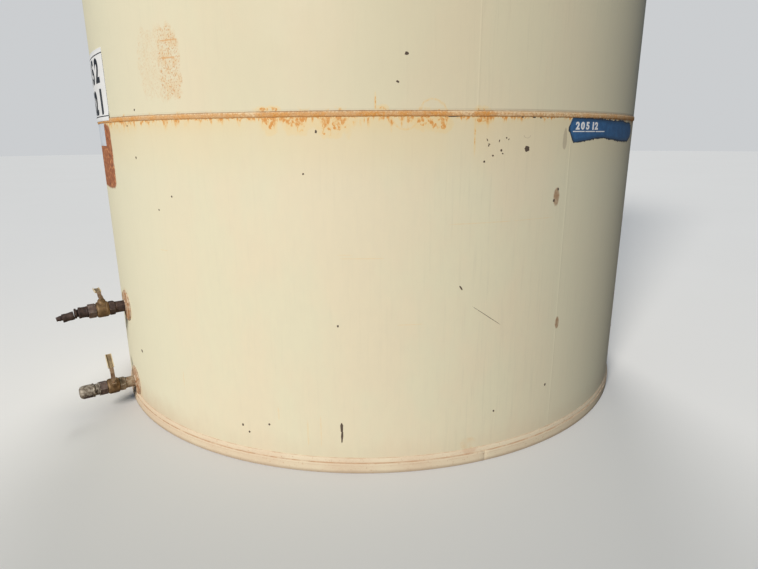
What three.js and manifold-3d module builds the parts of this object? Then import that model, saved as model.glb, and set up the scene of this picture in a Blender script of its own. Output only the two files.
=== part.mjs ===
// Vertical storage tank: an upright welded steel tank, three plate courses high, with a shallow
// cone deck, a manway, a gooseneck vent and two small ball valves low on one side.
// Millimetres, +Z up. The origin is the centre of the tank's underside, and its front faces -Y.
// An azimuth is an angle about the tank's axis, from the front (-Y) towards +X.

import * as THREE from 'three';
import { mergeVertices } from 'three/addons/utils/BufferGeometryUtils.js';
import Module from 'manifold-3d';

const wasm = await Module();
wasm.setup();

const degree = Math.PI / 180;

// Clearance between pieces that touch, and of a round hole over what passes through it
const seatGap = 0.3;
const holeClearance = 0.4;

// Shell
const tankRadius = 1600;
const shellThickness = 5;
const bottomThickness = 8;
const courseHeight = 1543;
const courseNames = ['lower', 'middle', 'upper'];
const platesPerCourse = 3;
const facetsPerPlate = 34;
const facetCount = platesPerCourse * facetsPerPlate;
const facetAngle = (2 * Math.PI) / facetCount;
const shellTop = bottomThickness + courseNames.length * courseHeight;

// The upright seams are staggered from course to course
const lowerSeamAzimuth = 33.2 * degree;
const seamStagger = 5 * facetAngle;

// Base ring and its bead
const baseRingThickness = 9;
const baseRingHeight = 50;
const baseRingJointAzimuth = lowerSeamAzimuth - 4 * facetAngle;
const footBeadTop = 73;
const footBeadWidth = 7;
const footBeadTopWidth = 1.75;

// Girth welds and rim
const girthWeldHeight = 22;
const girthWeldDepth = 4;
const girthWeldShoulder = 0.75;
const rimLeg = 50;
const rimThickness = 6;

// Deck
const deckRadius = 1640;
const deckThickness = 5;
const deckSlope = 1 / 12;
const deckPlates = 3;
const deckSeamAzimuth = 80 * degree;

// Manway on the deck, behind the vent
const manwayRadius = 254;
const manwayWall = 6.5;
const manwayDistance = 950;
const manwayAzimuth = 140 * degree;
const manwayRise = 140;
const manwayDrop = 60;
const manwayFlangeRadius = 330;
const manwayFlangeThickness = 12;
const manwayFacets = 36;

// Vent at the middle of the deck
const ventRadius = 44.45;
const ventWall = 5.5;
const ventRise = 260;
const ventDrop = 40;
const ventBendRadius = 114;
const ventFacets = 14;
const ventBendSteps = 12;

// Lifting lugs under the rim
const lugThickness = 12;
const lugReach = 90;
const lugHeight = 160;
const lugFootReach = 40.5;
const lugSlopeEnd = 64;
const lugChamferStart = 128;
const lugTopReach = 72;
const lugHoleRadius = 20;
const lugHoleReach = 49.5;
const lugHoleHeight = 104;
const lugAzimuths = { left: -90 * degree, right: 90 * degree };

// Outlets: two pipe stacks, one above the other, square to the shell
const outletAzimuth = -56 * degree;
const lowerOutletHeight = 145;
const upperOutletHeight = 588;
const padRadius = 80;
const padThickness = 8;
const padHalfFacets = 3;
const nozzleRadius = 30.15;
const nozzleBore = 26.2;
const nozzleInside = 40;
const pipeFacets = 24;
const smallFacets = 16;
const stemFacets = 12;
const cutterReach = 60;

// Ball valve, measured outwards from the shell, and its handle, measured from the pipe's axis
const valveStart = 62;
const valveInnerHexEnd = 90;
const valveBarrelStart = 92;
const valveBarrelEnd = 150;
const valveOuterHexStart = 153;
const valveEnd = 190;
const valveNeckInset = 1;
const valveShoulderLength = 8;
const valveShoulderStep = 2;
const valveShoulderDrop = 3;
const valveStem = 121;
const valveBarrelRadius = 42;
const valveHexRadius = 39;
const valveNeckRadius = 33;
const bonnetRadius = 19;
const bonnetTop = 52;
const stemRadius = 7;
const stemThreadRadius = 5;
const stemFoot = 36;
const stemShoulder = 62;
const stemTop = 80;
const nutAcrossFlats = 17;
const nutHeight = 8;
const leverLength = 158;
const leverWidth = 22;
const leverThickness = 3.5;
const leverHeel = 15;
const leverBendStart = 30;
const leverBendEnd = 50;
const leverLift = 14;
const gripLength = 80;
const gripWidth = 32;
const gripFloor = 3;
const gripOverTip = 1;
const gripHeight = 13;

// The lower valve leans towards the front, so that its closed lever points up and back
const lowerValveLean = -49 * degree;

// Lower stack past the valve: cam adapter and dust cap, measured outwards from the shell
const adapterCollarRadius = 37;
const adapterCollarLength = 5;
const adapterRadius = 32;
const adapterRibs = 3;
const adapterGrooveDepth = 3;
const adapterGrooveShare = 0.35;
const adapterEnd = 217;
const adapterSpigotRadius = 27.5;
const adapterSpigotEnd = 258;
const capRadius = 36;
const capLipRadius = 38;
const capLipLength = 6;
const capEnd = 290;
const capShoulder = 18;
const capCrown = 6;
const capCrownRadius = 31;
const capFaceRadius = 21.6;
const camEarSink = 3;
const camEarReach = 8;
const camEarHalfWidth = 9;
const camEarStart = 9;
const camEarEnd = 26;
const camArmInnerReach = 3;
const camArmOuterReach = 11;
const camArmHalfWidth = 5;
const camArmStart = 16;
const camArmEnd = 62;
const camAzimuths = [-20 * degree, 160 * degree];

// Upper stack past the valve: coupling, drooping tail and end plug
const couplingRadius = 29.5;
const couplingEnd = 234;
const couplingNeckRadius = 20;
const couplingNeckStart = 237;
const couplingRingStart = 245;
const couplingRingRadius = 26;
const couplingRingEnd = 254;
const tailRadius = 22;
const tailLength = 54;
const tailDroop = 8 * degree;
const tailOffset = 8;
const plugRadius = 13.5;
const plugLength = 27;
const plugLift = 4;

const finishes = {
  paint: { color: 0xcfc9ab, roughness: 0.55, metalness: 0.0 },
  foot: { color: 0xb7a084, roughness: 0.8, metalness: 0.0 },
  weld: { color: 0xa8714a, roughness: 0.85, metalness: 0.1 },
  brass: { color: 0x8a6a3e, roughness: 0.5, metalness: 0.7 },
  rust: { color: 0x6b4632, roughness: 0.9, metalness: 0.2 },
  aluminium: { color: 0x9a978e, roughness: 0.6, metalness: 0.7 },
  grip: { color: 0xb49a6c, roughness: 0.7, metalness: 0.0 },
};

const tank = new THREE.Group();

// Adds a named piece with its own finish to a group
function addPiece(parent, name, geometry, finish) {
  const material = new THREE.MeshStandardMaterial(finishes[finish]);
  const piece = new THREE.Mesh(geometry, material);
  piece.name = name;
  parent.add(piece);
  return piece;
}

// Turns a closed geometry into a solid that can be joined and cut
function solidOf(geometry) {
  const bare = geometry.clone();
  bare.deleteAttribute('normal');
  bare.deleteAttribute('uv');
  const merged = mergeVertices(bare, 0.001);
  const corners = merged.index.array;
  const triangles = [];
  for (let i = 0; i < corners.length; i += 3) {
    const [a, b, c] = corners.slice(i, i + 3);
    if (a !== b && b !== c && c !== a) {
      triangles.push(a, b, c);
    }
  }
  const vertProperties = Float32Array.from(merged.attributes.position.array);
  const triVerts = Uint32Array.from(triangles);
  return new wasm.Manifold(new wasm.Mesh({ numProp: 3, vertProperties, triVerts }));
}

function geometryOf(solid) {
  const mesh = solid.getMesh();
  const geometry = new THREE.BufferGeometry();
  const positions = Float32Array.from(mesh.vertProperties);
  geometry.setAttribute('position', new THREE.BufferAttribute(positions, 3));
  geometry.setIndex(new THREE.BufferAttribute(Uint32Array.from(mesh.triVerts), 1));
  geometry.computeVertexNormals();
  return geometry;
}

// A profile of [radius, height] pairs turned about the Z axis
function turned(profile, facets, startAzimuth = 0) {
  const points = profile.map(([radius, height]) => new THREE.Vector2(radius, height));
  return new THREE.LatheGeometry(points, facets, startAzimuth).rotateX(Math.PI / 2);
}

// A closed section turned into a ring in step with the shell's facets
function shellRing(section) {
  return turned([...section, section[0]], facetCount, lowerSeamAzimuth);
}

function cylinder(radius, from, to, facets = pipeFacets) {
  const profile = [[0, from], [radius, from], [radius, to], [0, to]];
  return turned(profile, facets);
}

function tube(outer, inner, from, to, facets = pipeFacets) {
  const section = [[inner, from], [outer, from], [outer, to], [inner, to], [inner, from]];
  return turned(section, facets);
}

function hexPrism(circumradius, from, to) {
  const prism = new THREE.CylinderGeometry(circumradius, circumradius, to - from, 6);
  return prism.rotateX(Math.PI / 2).translate(0, 0, (from + to) / 2);
}

function box(lowCorner, highCorner) {
  const low = new THREE.Vector3(...lowCorner);
  const high = new THREE.Vector3(...highCorner);
  const size = high.clone().sub(low);
  const middle = low.clone().add(high).multiplyScalar(0.5);
  return new THREE.BoxGeometry(size.x, size.y, size.z).translate(middle.x, middle.y, middle.z);
}

function planPoint(radius, azimuth) {
  return new THREE.Vector2(radius * Math.sin(azimuth), -radius * Math.cos(azimuth));
}

// A curved plate standing upright: an arc of whole facets, with half a seat gap off each end
function arcPlate(innerRadius, outerRadius, startAzimuth, facets, height) {
  const endInset = (seatGap / 2) / outerRadius;
  const azimuths = [];
  for (let i = 0; i <= facets; i += 1) {
    azimuths.push(startAzimuth + i * facetAngle);
  }
  azimuths[0] += endInset;
  azimuths[facets] -= endInset;
  const outer = azimuths.map((azimuth) => planPoint(outerRadius, azimuth));
  const inner = azimuths.map((azimuth) => planPoint(innerRadius, azimuth)).reverse();
  const outline = new THREE.Shape([...outer, ...inner]);
  return new THREE.ExtrudeGeometry(outline, { depth: height, bevelEnabled: false });
}

// Place of an outlet: Z points outwards along the pipe, Y up and X level towards the front
function outletMatrix(height) {
  const outward = new THREE.Vector3(Math.sin(outletAzimuth), -Math.cos(outletAzimuth), 0);
  const up = new THREE.Vector3(0, 0, 1);
  const sideways = new THREE.Vector3().crossVectors(up, outward);
  const matrix = new THREE.Matrix4().makeBasis(sideways, up, outward);
  return matrix.setPosition(outward.x * tankRadius, outward.y * tankRadius, height);
}

function outletGroup(height) {
  const group = new THREE.Group();
  group.applyMatrix4(outletMatrix(height));
  tank.add(group);
  return group;
}

// A cutter for the hole that a nozzle passes through
function nozzleHole(height) {
  const cutter = cylinder(nozzleRadius + holeClearance, -cutterReach, cutterReach);
  return solidOf(cutter.applyMatrix4(outletMatrix(height)));
}

// Foot: bottom plate, base ring and the bead between ring and shell

function addFoot() {
  const disc = [[0, 0], [tankRadius, 0], [tankRadius, bottomThickness], [0, bottomThickness]];
  addPiece(tank, 'bottom_plate', turned(disc, facetCount, lowerSeamAzimuth), 'foot');

  const ringInner = tankRadius + seatGap;
  const ringOuter = ringInner + baseRingThickness;
  for (let i = 0; i < platesPerCourse; i += 1) {
    const start = baseRingJointAzimuth + i * facetsPerPlate * facetAngle;
    const bar = arcPlate(ringInner, ringOuter, start, facetsPerPlate, baseRingHeight);
    addPiece(tank, `base_ring_${i + 1}`, bar, 'foot');
  }

  const beadBottom = baseRingHeight + seatGap;
  const bead = shellRing([
    [ringInner, beadBottom],
    [ringInner + footBeadWidth, beadBottom],
    [ringInner + footBeadTopWidth, footBeadTop],
    [ringInner, footBeadTop],
  ]);
  addPiece(tank, 'foot_bead', bead, 'foot');
}

// Shell: three courses of three plates each, the lower one pierced for the two nozzles

function addShell() {
  const inner = tankRadius - shellThickness;
  const holes = [nozzleHole(lowerOutletHeight), nozzleHole(upperOutletHeight)];
  courseNames.forEach((courseName, course) => {
    const base = bottomThickness + seatGap + course * courseHeight;
    const firstSeam = lowerSeamAzimuth - (course % 2) * seamStagger;
    for (let i = 0; i < platesPerCourse; i += 1) {
      const start = firstSeam + i * facetsPerPlate * facetAngle;
      const height = courseHeight - seatGap;
      let plate = arcPlate(inner, tankRadius, start, facetsPerPlate, height).translate(0, 0, base);
      const end = start + facetsPerPlate * facetAngle;
      const outletFromStart = outletAzimuth + 2 * Math.PI;
      if (course === 0 && outletFromStart > start && outletFromStart < end) {
        plate = geometryOf(solidOf(plate).subtract(holes[0]).subtract(holes[1]));
      }
      addPiece(tank, `${courseName}_shell_plate_${i + 1}`, plate, 'paint');
    }
  });
}

// Girth welds cover the joints between courses

function addGirthWelds() {
  const inner = tankRadius + seatGap;
  const half = girthWeldHeight / 2;
  ['lower', 'upper'].forEach((name, i) => {
    const middle = bottomThickness + (i + 1) * courseHeight;
    const weld = shellRing([
      [inner, middle - half],
      [inner + girthWeldDepth, middle - girthWeldShoulder * half],
      [inner + girthWeldDepth, middle + girthWeldShoulder * half],
      [inner, middle + half],
    ]);
    addPiece(tank, `${name}_girth_weld`, weld, 'weld');
  });
}

// Rim angle: an L-section bar round the top, its level leg outwards

function addRim() {
  const inner = tankRadius + seatGap;
  const rim = shellRing([
    [inner, shellTop - rimLeg],
    [inner + rimThickness, shellTop - rimLeg],
    [inner + rimThickness, shellTop - rimThickness],
    [inner + rimLeg, shellTop - rimThickness],
    [inner + rimLeg, shellTop],
    [inner, shellTop],
  ]);
  addPiece(tank, 'rim_angle', rim, 'paint');
}

// Height of the deck's underside at a distance from the axis
function deckUnderside(radius) {
  return shellTop + seatGap + (deckRadius - radius) * deckSlope;
}

// Deck: a shallow cone of wedge plates with the vent at its middle and the manway at the back

function addDeck() {
  const inner = ventRadius + holeClearance;
  const cone = solidOf(shellRing([
    [inner, deckUnderside(inner)],
    [deckRadius, deckUnderside(deckRadius)],
    [deckRadius, deckUnderside(deckRadius) + deckThickness],
    [inner, deckUnderside(inner) + deckThickness],
  ]));
  const manwayPlace = planPoint(manwayDistance, manwayAzimuth);
  const holeRadius = manwayRadius + holeClearance;
  const hole = cylinder(holeRadius, shellTop, shellTop + deckRadius * deckSlope, manwayFacets);
  const pierced = cone.subtract(solidOf(hole.translate(manwayPlace.x, manwayPlace.y, 0)));

  const wedgeAngle = (2 * Math.PI) / deckPlates;
  for (let i = 0; i < deckPlates; i += 1) {
    const start = deckSeamAzimuth + i * wedgeAngle;
    const wedge = solidOf(wedgeCutter(start, wedgeAngle));
    addPiece(tank, `deck_plate_${i + 1}`, geometryOf(pierced.intersect(wedge)), 'paint');
  }
}

// A tall wedge with its point on the tank's axis, drawn in by half a seat gap on both sides
function wedgeCutter(startAzimuth, angle) {
  const reach = 2 * deckRadius;
  const middle = startAzimuth + angle / 2;
  const point = planPoint((seatGap / 2) / Math.sin(angle / 2), middle);
  const corners = [0, 0.5, 1].map((share) => {
    const corner = planPoint(reach, startAzimuth + share * angle);
    return corner.add(point);
  });
  const outline = new THREE.Shape([point, ...corners]);
  const depth = 2 * deckRadius * deckSlope;
  const wedge = new THREE.ExtrudeGeometry(outline, { depth, bevelEnabled: false });
  return wedge.translate(0, 0, shellTop - deckThickness);
}

function addManway() {
  const place = planPoint(manwayDistance, manwayAzimuth);
  const deck = deckUnderside(manwayDistance);
  const inner = manwayRadius - manwayWall;
  const neckTop = deck + manwayRise;
  const neck = turned([
    [inner, deck - manwayDrop],
    [manwayRadius, deck - manwayDrop],
    [manwayRadius, neckTop - manwayFlangeThickness],
    [manwayFlangeRadius, neckTop - manwayFlangeThickness],
    [manwayFlangeRadius, neckTop],
    [inner, neckTop],
    [inner, deck - manwayDrop],
  ], manwayFacets);
  addPiece(tank, 'manway_neck', neck.translate(place.x, place.y, 0), 'paint');

  const coverBottom = neckTop + seatGap;
  const coverTop = coverBottom + manwayFlangeThickness;
  const cover = cylinder(manwayFlangeRadius, coverBottom, coverTop, manwayFacets);
  addPiece(tank, 'manway_cover', cover.translate(place.x, place.y, 0), 'paint');
}

// Vent: a pipe through the deck and a gooseneck bend that opens downwards

function addVent() {
  const inner = ventRadius - ventWall;
  const deck = deckUnderside(ventRadius);
  const pipeTop = deck + ventRise;
  const pipe = tube(ventRadius, inner, deck - ventDrop, pipeTop, ventFacets);
  addPiece(tank, 'vent_pipe', pipe, 'paint');

  const bendBase = pipeTop + seatGap;
  const away = planPoint(1, manwayAzimuth + Math.PI);
  class Gooseneck extends THREE.Curve {
    getPoint(share, target = new THREE.Vector3()) {
      const turn = share * Math.PI;
      const out = ventBendRadius * (1 - Math.cos(turn));
      const rise = ventBendRadius * Math.sin(turn);
      return target.set(out * away.x, out * away.y, bendBase + rise);
    }
  }
  const section = new THREE.Shape();
  section.absarc(0, 0, ventRadius, 0, 2 * Math.PI);
  const bore = new THREE.Path();
  bore.absarc(0, 0, inner, 0, 2 * Math.PI);
  section.holes.push(bore);
  const extrudePath = new Gooseneck();
  const settings = { steps: ventBendSteps, curveSegments: ventFacets / 2, extrudePath };
  addPiece(tank, 'vent_bend', new THREE.ExtrudeGeometry(section, settings), 'paint');
}

// Lifting lugs: upright plates with a shackle hole, square to the shell

function addLugs() {
  const outline = new THREE.Shape([
    new THREE.Vector2(0, 0),
    new THREE.Vector2(lugFootReach, 0),
    new THREE.Vector2(lugReach, lugSlopeEnd),
    new THREE.Vector2(lugReach, lugChamferStart),
    new THREE.Vector2(lugTopReach, lugHeight),
    new THREE.Vector2(0, lugHeight),
  ]);
  const hole = new THREE.Path();
  hole.absarc(lugHoleReach, lugHoleHeight, lugHoleRadius, 0, 2 * Math.PI);
  outline.holes.push(hole);
  const settings = { depth: lugThickness, bevelEnabled: false, curveSegments: smallFacets / 2 };
  for (const [side, azimuth] of Object.entries(lugAzimuths)) {
    const plate = new THREE.ExtrudeGeometry(outline, settings).translate(0, 0, -lugThickness / 2);
    const lug = addPiece(tank, `lifting_lug_${side}`, plate.rotateX(Math.PI / 2), 'paint');
    const foot = planPoint(tankRadius + seatGap, azimuth);
    lug.rotation.z = azimuth - Math.PI / 2;
    lug.position.set(foot.x, foot.y, shellTop - rimLeg - seatGap - lugHeight);
  }
}

// Outlet pieces that both stacks have: the curved weld pad and the nozzle through it

function addPadAndNozzle(prefix, height, group) {
  const nearest = Math.round((outletAzimuth - lowerSeamAzimuth) / facetAngle);
  const start = lowerSeamAzimuth + (nearest - padHalfFacets) * facetAngle;
  const inner = tankRadius + seatGap;
  const bandHeight = 2 * (padRadius + seatGap);
  const band = arcPlate(inner, inner + padThickness, start, 2 * padHalfFacets, bandHeight);
  const bandBottom = height - bandHeight / 2;
  const disc = cylinder(padRadius, -cutterReach, cutterReach).applyMatrix4(outletMatrix(height));
  const keepAbove = footBeadTop + seatGap;
  const reach = 2 * tankRadius;
  const clearOfBead = box([-reach, -reach, keepAbove], [reach, reach, shellTop]);
  const pad = solidOf(band.translate(0, 0, bandBottom))
    .intersect(solidOf(disc))
    .intersect(solidOf(clearOfBead))
    .subtract(nozzleHole(height));
  addPiece(tank, `${prefix}_outlet_pad`, geometryOf(pad), 'rust');

  const nozzle = tube(nozzleRadius, nozzleBore, -nozzleInside, valveStart - seatGap);
  addPiece(group, `${prefix}_nozzle`, nozzle, 'paint');
}

// Ball valve: hexagon ends, a round barrel and a bonnet that the stem stands in.
// The handle's pieces sit on the stem's axis, and the closed lever points along -X.

function addBallValve(prefix, group, lean) {
  const valve = new THREE.Group();
  valve.rotation.z = lean;
  group.add(valve);

  const shoulderRadius = valveBarrelRadius - valveShoulderDrop;
  const barrel = turned([
    [0, valveStart + valveNeckInset],
    [valveNeckRadius, valveStart + valveNeckInset],
    [valveNeckRadius, valveBarrelStart],
    [shoulderRadius, valveBarrelStart + valveShoulderStep],
    [valveBarrelRadius, valveBarrelStart + valveShoulderLength],
    [valveBarrelRadius, valveBarrelEnd - valveShoulderLength],
    [shoulderRadius, valveBarrelEnd - valveShoulderStep],
    [valveNeckRadius, valveBarrelEnd],
    [valveNeckRadius, valveEnd - valveNeckInset],
    [0, valveEnd - valveNeckInset],
  ], pipeFacets);
  const innerHex = hexPrism(valveHexRadius, valveStart, valveInnerHexEnd);
  const outerHex = hexPrism(valveHexRadius, valveOuterHexStart, valveEnd);
  const bonnet = new THREE.CylinderGeometry(bonnetRadius, bonnetRadius, bonnetTop, smallFacets);
  const boreRadius = stemRadius + holeClearance;
  const stemBore = new THREE.CylinderGeometry(boreRadius, boreRadius, bonnetTop, smallFacets);
  const body = solidOf(barrel)
    .add(solidOf(innerHex))
    .add(solidOf(outerHex))
    .add(solidOf(bonnet.translate(0, bonnetTop / 2, valveStem)))
    .subtract(solidOf(stemBore.translate(0, bonnetTop / 2 + stemFoot - seatGap, valveStem)));
  addPiece(valve, `${prefix}_valve_body`, geometryOf(body), 'brass');

  const handle = new THREE.Group();
  handle.position.z = valveStem;
  valve.add(handle);

  const stemProfile = [
    [0, stemFoot],
    [stemRadius, stemFoot],
    [stemRadius, stemShoulder],
    [stemThreadRadius, stemShoulder],
    [stemThreadRadius, stemTop],
    [0, stemTop],
  ].map(([radius, height]) => new THREE.Vector2(radius, height));
  addPiece(handle, `${prefix}_stem`, new THREE.LatheGeometry(stemProfile, stemFacets), 'brass');

  const leverUnderside = stemShoulder + seatGap;
  const leverTip = gripOverTip - leverLength;
  const leverSide = new THREE.Shape([
    new THREE.Vector2(leverHeel, leverUnderside),
    new THREE.Vector2(leverHeel, leverUnderside + leverThickness),
    new THREE.Vector2(-leverBendStart, leverUnderside + leverThickness),
    new THREE.Vector2(-leverBendEnd, leverUnderside + leverThickness + leverLift),
    new THREE.Vector2(leverTip, leverUnderside + leverThickness + leverLift),
    new THREE.Vector2(leverTip, leverUnderside + leverLift),
    new THREE.Vector2(-leverBendEnd, leverUnderside + leverLift),
    new THREE.Vector2(-leverBendStart, leverUnderside),
  ]);
  const strip = new THREE.ExtrudeGeometry(leverSide, { depth: leverWidth, bevelEnabled: false });
  const holeRadius = stemThreadRadius + holeClearance;
  const stemHole = new THREE.CylinderGeometry(holeRadius, holeRadius, 2 * stemTop, stemFacets);
  const lever = solidOf(strip.translate(0, 0, -leverWidth / 2)).subtract(solidOf(stemHole));
  addPiece(handle, `${prefix}_lever`, geometryOf(lever), 'rust');

  const nut = new THREE.Shape();
  const nutRadius = nutAcrossFlats / Math.sqrt(3);
  for (let i = 0; i < 6; i += 1) {
    const angle = i * 60 * degree;
    const corner = [nutRadius * Math.cos(angle), nutRadius * Math.sin(angle)];
    if (i === 0) {
      nut.moveTo(...corner);
    } else {
      nut.lineTo(...corner);
    }
  }
  nut.closePath();
  const nutHole = new THREE.Path();
  nutHole.absarc(0, 0, holeRadius, 0, 2 * Math.PI);
  nut.holes.push(nutHole);
  const nutSettings = { depth: nutHeight, bevelEnabled: false, curveSegments: stemFacets / 2 };
  const nutBody = new THREE.ExtrudeGeometry(nut, nutSettings).rotateX(-Math.PI / 2);
  const nutBase = leverUnderside + leverThickness + seatGap;
  addPiece(handle, `${prefix}_stem_nut`, nutBody.translate(0, nutBase, 0), 'rust');

  const half = gripWidth / 2;
  const innerHalf = leverWidth / 2 + seatGap;
  const floorTop = leverUnderside + leverLift - seatGap;
  const floorBottom = floorTop - gripFloor;
  const gripTop = floorBottom + gripHeight;
  const channel = new THREE.Shape([
    new THREE.Vector2(-half, floorBottom),
    new THREE.Vector2(half, floorBottom),
    new THREE.Vector2(half, gripTop),
    new THREE.Vector2(innerHalf, gripTop),
    new THREE.Vector2(innerHalf, floorTop),
    new THREE.Vector2(-innerHalf, floorTop),
    new THREE.Vector2(-innerHalf, gripTop),
    new THREE.Vector2(-half, gripTop),
  ]);
  const grip = new THREE.ExtrudeGeometry(channel, { depth: gripLength, bevelEnabled: false });
  grip.rotateY(-Math.PI / 2).translate(-leverLength + gripLength, 0, 0);
  addPiece(handle, `${prefix}_grip`, grip, 'grip');
}

// Lower stack: after the valve, a cam adapter with its dust cap

function addLowerOutlet() {
  const group = outletGroup(lowerOutletHeight);
  addPadAndNozzle('lower', lowerOutletHeight, group);
  addBallValve('lower', group, lowerValveLean);

  const collarStart = valveEnd + seatGap;
  const collarEnd = collarStart + adapterCollarLength;
  const profile = [
    [0, collarStart],
    [adapterCollarRadius, collarStart],
    [adapterCollarRadius, collarEnd],
  ];
  const grooveRadius = adapterRadius - adapterGrooveDepth;
  const ribPitch = (adapterEnd - collarEnd) / adapterRibs;
  for (let i = 0; i < adapterRibs; i += 1) {
    const ribStart = collarEnd + i * ribPitch;
    profile.push([grooveRadius, ribStart]);
    profile.push([grooveRadius, ribStart + adapterGrooveShare * ribPitch]);
    profile.push([adapterRadius, ribStart + adapterGrooveShare * ribPitch]);
    profile.push([adapterRadius, ribStart + ribPitch]);
  }
  profile.push([adapterSpigotRadius, adapterEnd]);
  profile.push([adapterSpigotRadius, adapterSpigotEnd]);
  profile.push([0, adapterSpigotEnd]);
  addPiece(group, 'lower_cam_adapter', turned(profile, pipeFacets), 'rust');

  const capStart = adapterEnd + seatGap;
  const capBore = adapterSpigotRadius + holeClearance;
  const cup = turned([
    [0, adapterSpigotEnd + seatGap],
    [capBore, adapterSpigotEnd + seatGap],
    [capBore, capStart],
    [capLipRadius, capStart],
    [capLipRadius, capStart + capLipLength],
    [capRadius, capStart + capLipLength],
    [capRadius, capEnd - capShoulder],
    [capCrownRadius, capEnd - capCrown],
    [capFaceRadius, capEnd],
    [0, capEnd],
  ], pipeFacets);
  let cap = solidOf(cup);
  for (const azimuth of camAzimuths) {
    const ears = box(
      [capRadius - camEarSink, -camEarHalfWidth, capStart + camEarStart],
      [capRadius + camEarReach, camEarHalfWidth, capStart + camEarEnd],
    );
    const arm = box(
      [capRadius + camArmInnerReach, -camArmHalfWidth, capStart + camArmStart],
      [capRadius + camArmOuterReach, camArmHalfWidth, capStart + camArmEnd],
    );
    cap = cap.add(solidOf(ears.rotateZ(azimuth))).add(solidOf(arm.rotateZ(azimuth)));
  }
  addPiece(group, 'lower_dust_cap', geometryOf(cap), 'aluminium');
}

// Upper stack: after the valve, a coupling, a short drooping tail and its end plug

function addUpperOutlet() {
  const group = outletGroup(upperOutletHeight);
  addPadAndNozzle('upper', upperOutletHeight, group);
  addBallValve('upper', group, 0);

  const coupling = turned([
    [0, valveEnd + seatGap],
    [couplingRadius, valveEnd + seatGap],
    [couplingRadius, couplingEnd],
    [couplingNeckRadius, couplingNeckStart],
    [couplingNeckRadius, couplingRingStart],
    [couplingRingRadius, couplingRingStart],
    [couplingRingRadius, couplingRingEnd],
    [0, couplingRingEnd],
  ], pipeFacets);
  addPiece(group, 'upper_coupling', coupling, 'rust');

  const tailGroup = new THREE.Group();
  const clearOfRing = couplingRingEnd + seatGap + tailRadius * Math.sin(tailDroop);
  tailGroup.position.set(0, -tailOffset, clearOfRing);
  tailGroup.rotation.x = tailDroop;
  group.add(tailGroup);
  addPiece(tailGroup, 'upper_tail', cylinder(tailRadius, 0, tailLength), 'rust');

  const plugStart = tailLength + seatGap;
  const plug = cylinder(plugRadius, plugStart, plugStart + plugLength, smallFacets);
  addPiece(tailGroup, 'upper_end_plug', plug.translate(0, plugLift, 0), 'rust');
}

addFoot();
addShell();
addGirthWelds();
addRim();
addDeck();
addManway();
addVent();
addLugs();
addLowerOutlet();
addUpperOutlet();

export default tank;
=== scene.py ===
# %% [markdown]
# # A welded storage tank
# The real object is a shop-built steel tank, 3.2 m across: rolled plates, a flat ring at its foot,
# rusty weld bands, a shallow cone deck, and two small ball valves low on one side.
# The frame brings its sizes and its moving bodies. Every piece below is made around it in metres,
# in the same place, so nothing has to be fitted by eye.

import math
import random
from types import SimpleNamespace

import bmesh
import bpy
from mathutils import Matrix, Vector


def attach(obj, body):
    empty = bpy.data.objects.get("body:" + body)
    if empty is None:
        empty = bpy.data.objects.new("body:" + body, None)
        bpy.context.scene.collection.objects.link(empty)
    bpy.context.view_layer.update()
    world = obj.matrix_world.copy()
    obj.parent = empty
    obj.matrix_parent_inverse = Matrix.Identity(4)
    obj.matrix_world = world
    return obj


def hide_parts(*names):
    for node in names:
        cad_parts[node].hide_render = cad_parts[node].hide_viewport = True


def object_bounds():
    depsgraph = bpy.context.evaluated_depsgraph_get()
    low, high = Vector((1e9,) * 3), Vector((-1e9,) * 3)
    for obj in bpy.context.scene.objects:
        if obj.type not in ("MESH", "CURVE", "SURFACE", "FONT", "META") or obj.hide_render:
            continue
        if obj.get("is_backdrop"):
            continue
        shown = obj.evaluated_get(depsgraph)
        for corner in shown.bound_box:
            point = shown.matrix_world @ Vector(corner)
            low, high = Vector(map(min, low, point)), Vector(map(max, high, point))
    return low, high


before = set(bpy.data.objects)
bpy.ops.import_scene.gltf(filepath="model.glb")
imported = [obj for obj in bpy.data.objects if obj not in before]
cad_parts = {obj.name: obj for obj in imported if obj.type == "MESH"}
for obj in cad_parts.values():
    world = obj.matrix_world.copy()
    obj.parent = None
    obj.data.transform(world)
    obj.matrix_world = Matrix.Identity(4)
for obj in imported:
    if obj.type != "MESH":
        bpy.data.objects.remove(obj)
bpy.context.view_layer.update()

# %% [markdown]
# ## Sizes
# A maker works from a short list of sizes. They repeat the ones that the frame was drawn from, in
# metres, so that a weld or a bolt lands on the plate that carries it. An azimuth is an angle about
# the tank's axis from the front (-Y) towards +X, and an arc is that angle times the radius.

# %% Sizes
TANK_RADIUS = 1.6
PLATE_THICKNESS = 0.005
BOTTOM_THICKNESS = 0.008
COURSE_HEIGHT = 1.543
COURSES = ("lower", "middle", "upper")
PLATES = 3
PLATE_TURN = math.tau / PLATES
SEAT_GAP = 0.0003
SHELL_TOP = BOTTOM_THICKNESS + len(COURSES) * COURSE_HEIGHT
LOWER_SEAM = math.radians(33.2)
FACET = math.tau / 102
STAGGER = 5 * FACET
RING_JOINT = LOWER_SEAM - 4 * FACET
DECK_RADIUS = 1.64
DECK_THICKNESS = 0.005
DECK_SLOPE = 1 / 12
DECK_SEAM = math.radians(80)
MANWAY_AZIMUTH = math.radians(140)
MANWAY_DISTANCE = 0.95
MANWAY_RADIUS = 0.254
VENT_RADIUS = 0.04445
OUTLET_AZIMUTH = math.radians(-56)
OUTLET_ARC = TANK_RADIUS * OUTLET_AZIMUTH
OUTLET_HEIGHTS = {"lower": 0.145, "upper": 0.588}
PAD_RADIUS = 0.08
WAVE_HEIGHT = 0.0012
UP = Vector((0.0, 0.0, 1.0))


def plan_point(radius, azimuth, height=0.0):
    """A point at a radius and azimuth about the tank's axis."""
    return Vector((radius * math.sin(azimuth), -radius * math.cos(azimuth), height))


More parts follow.
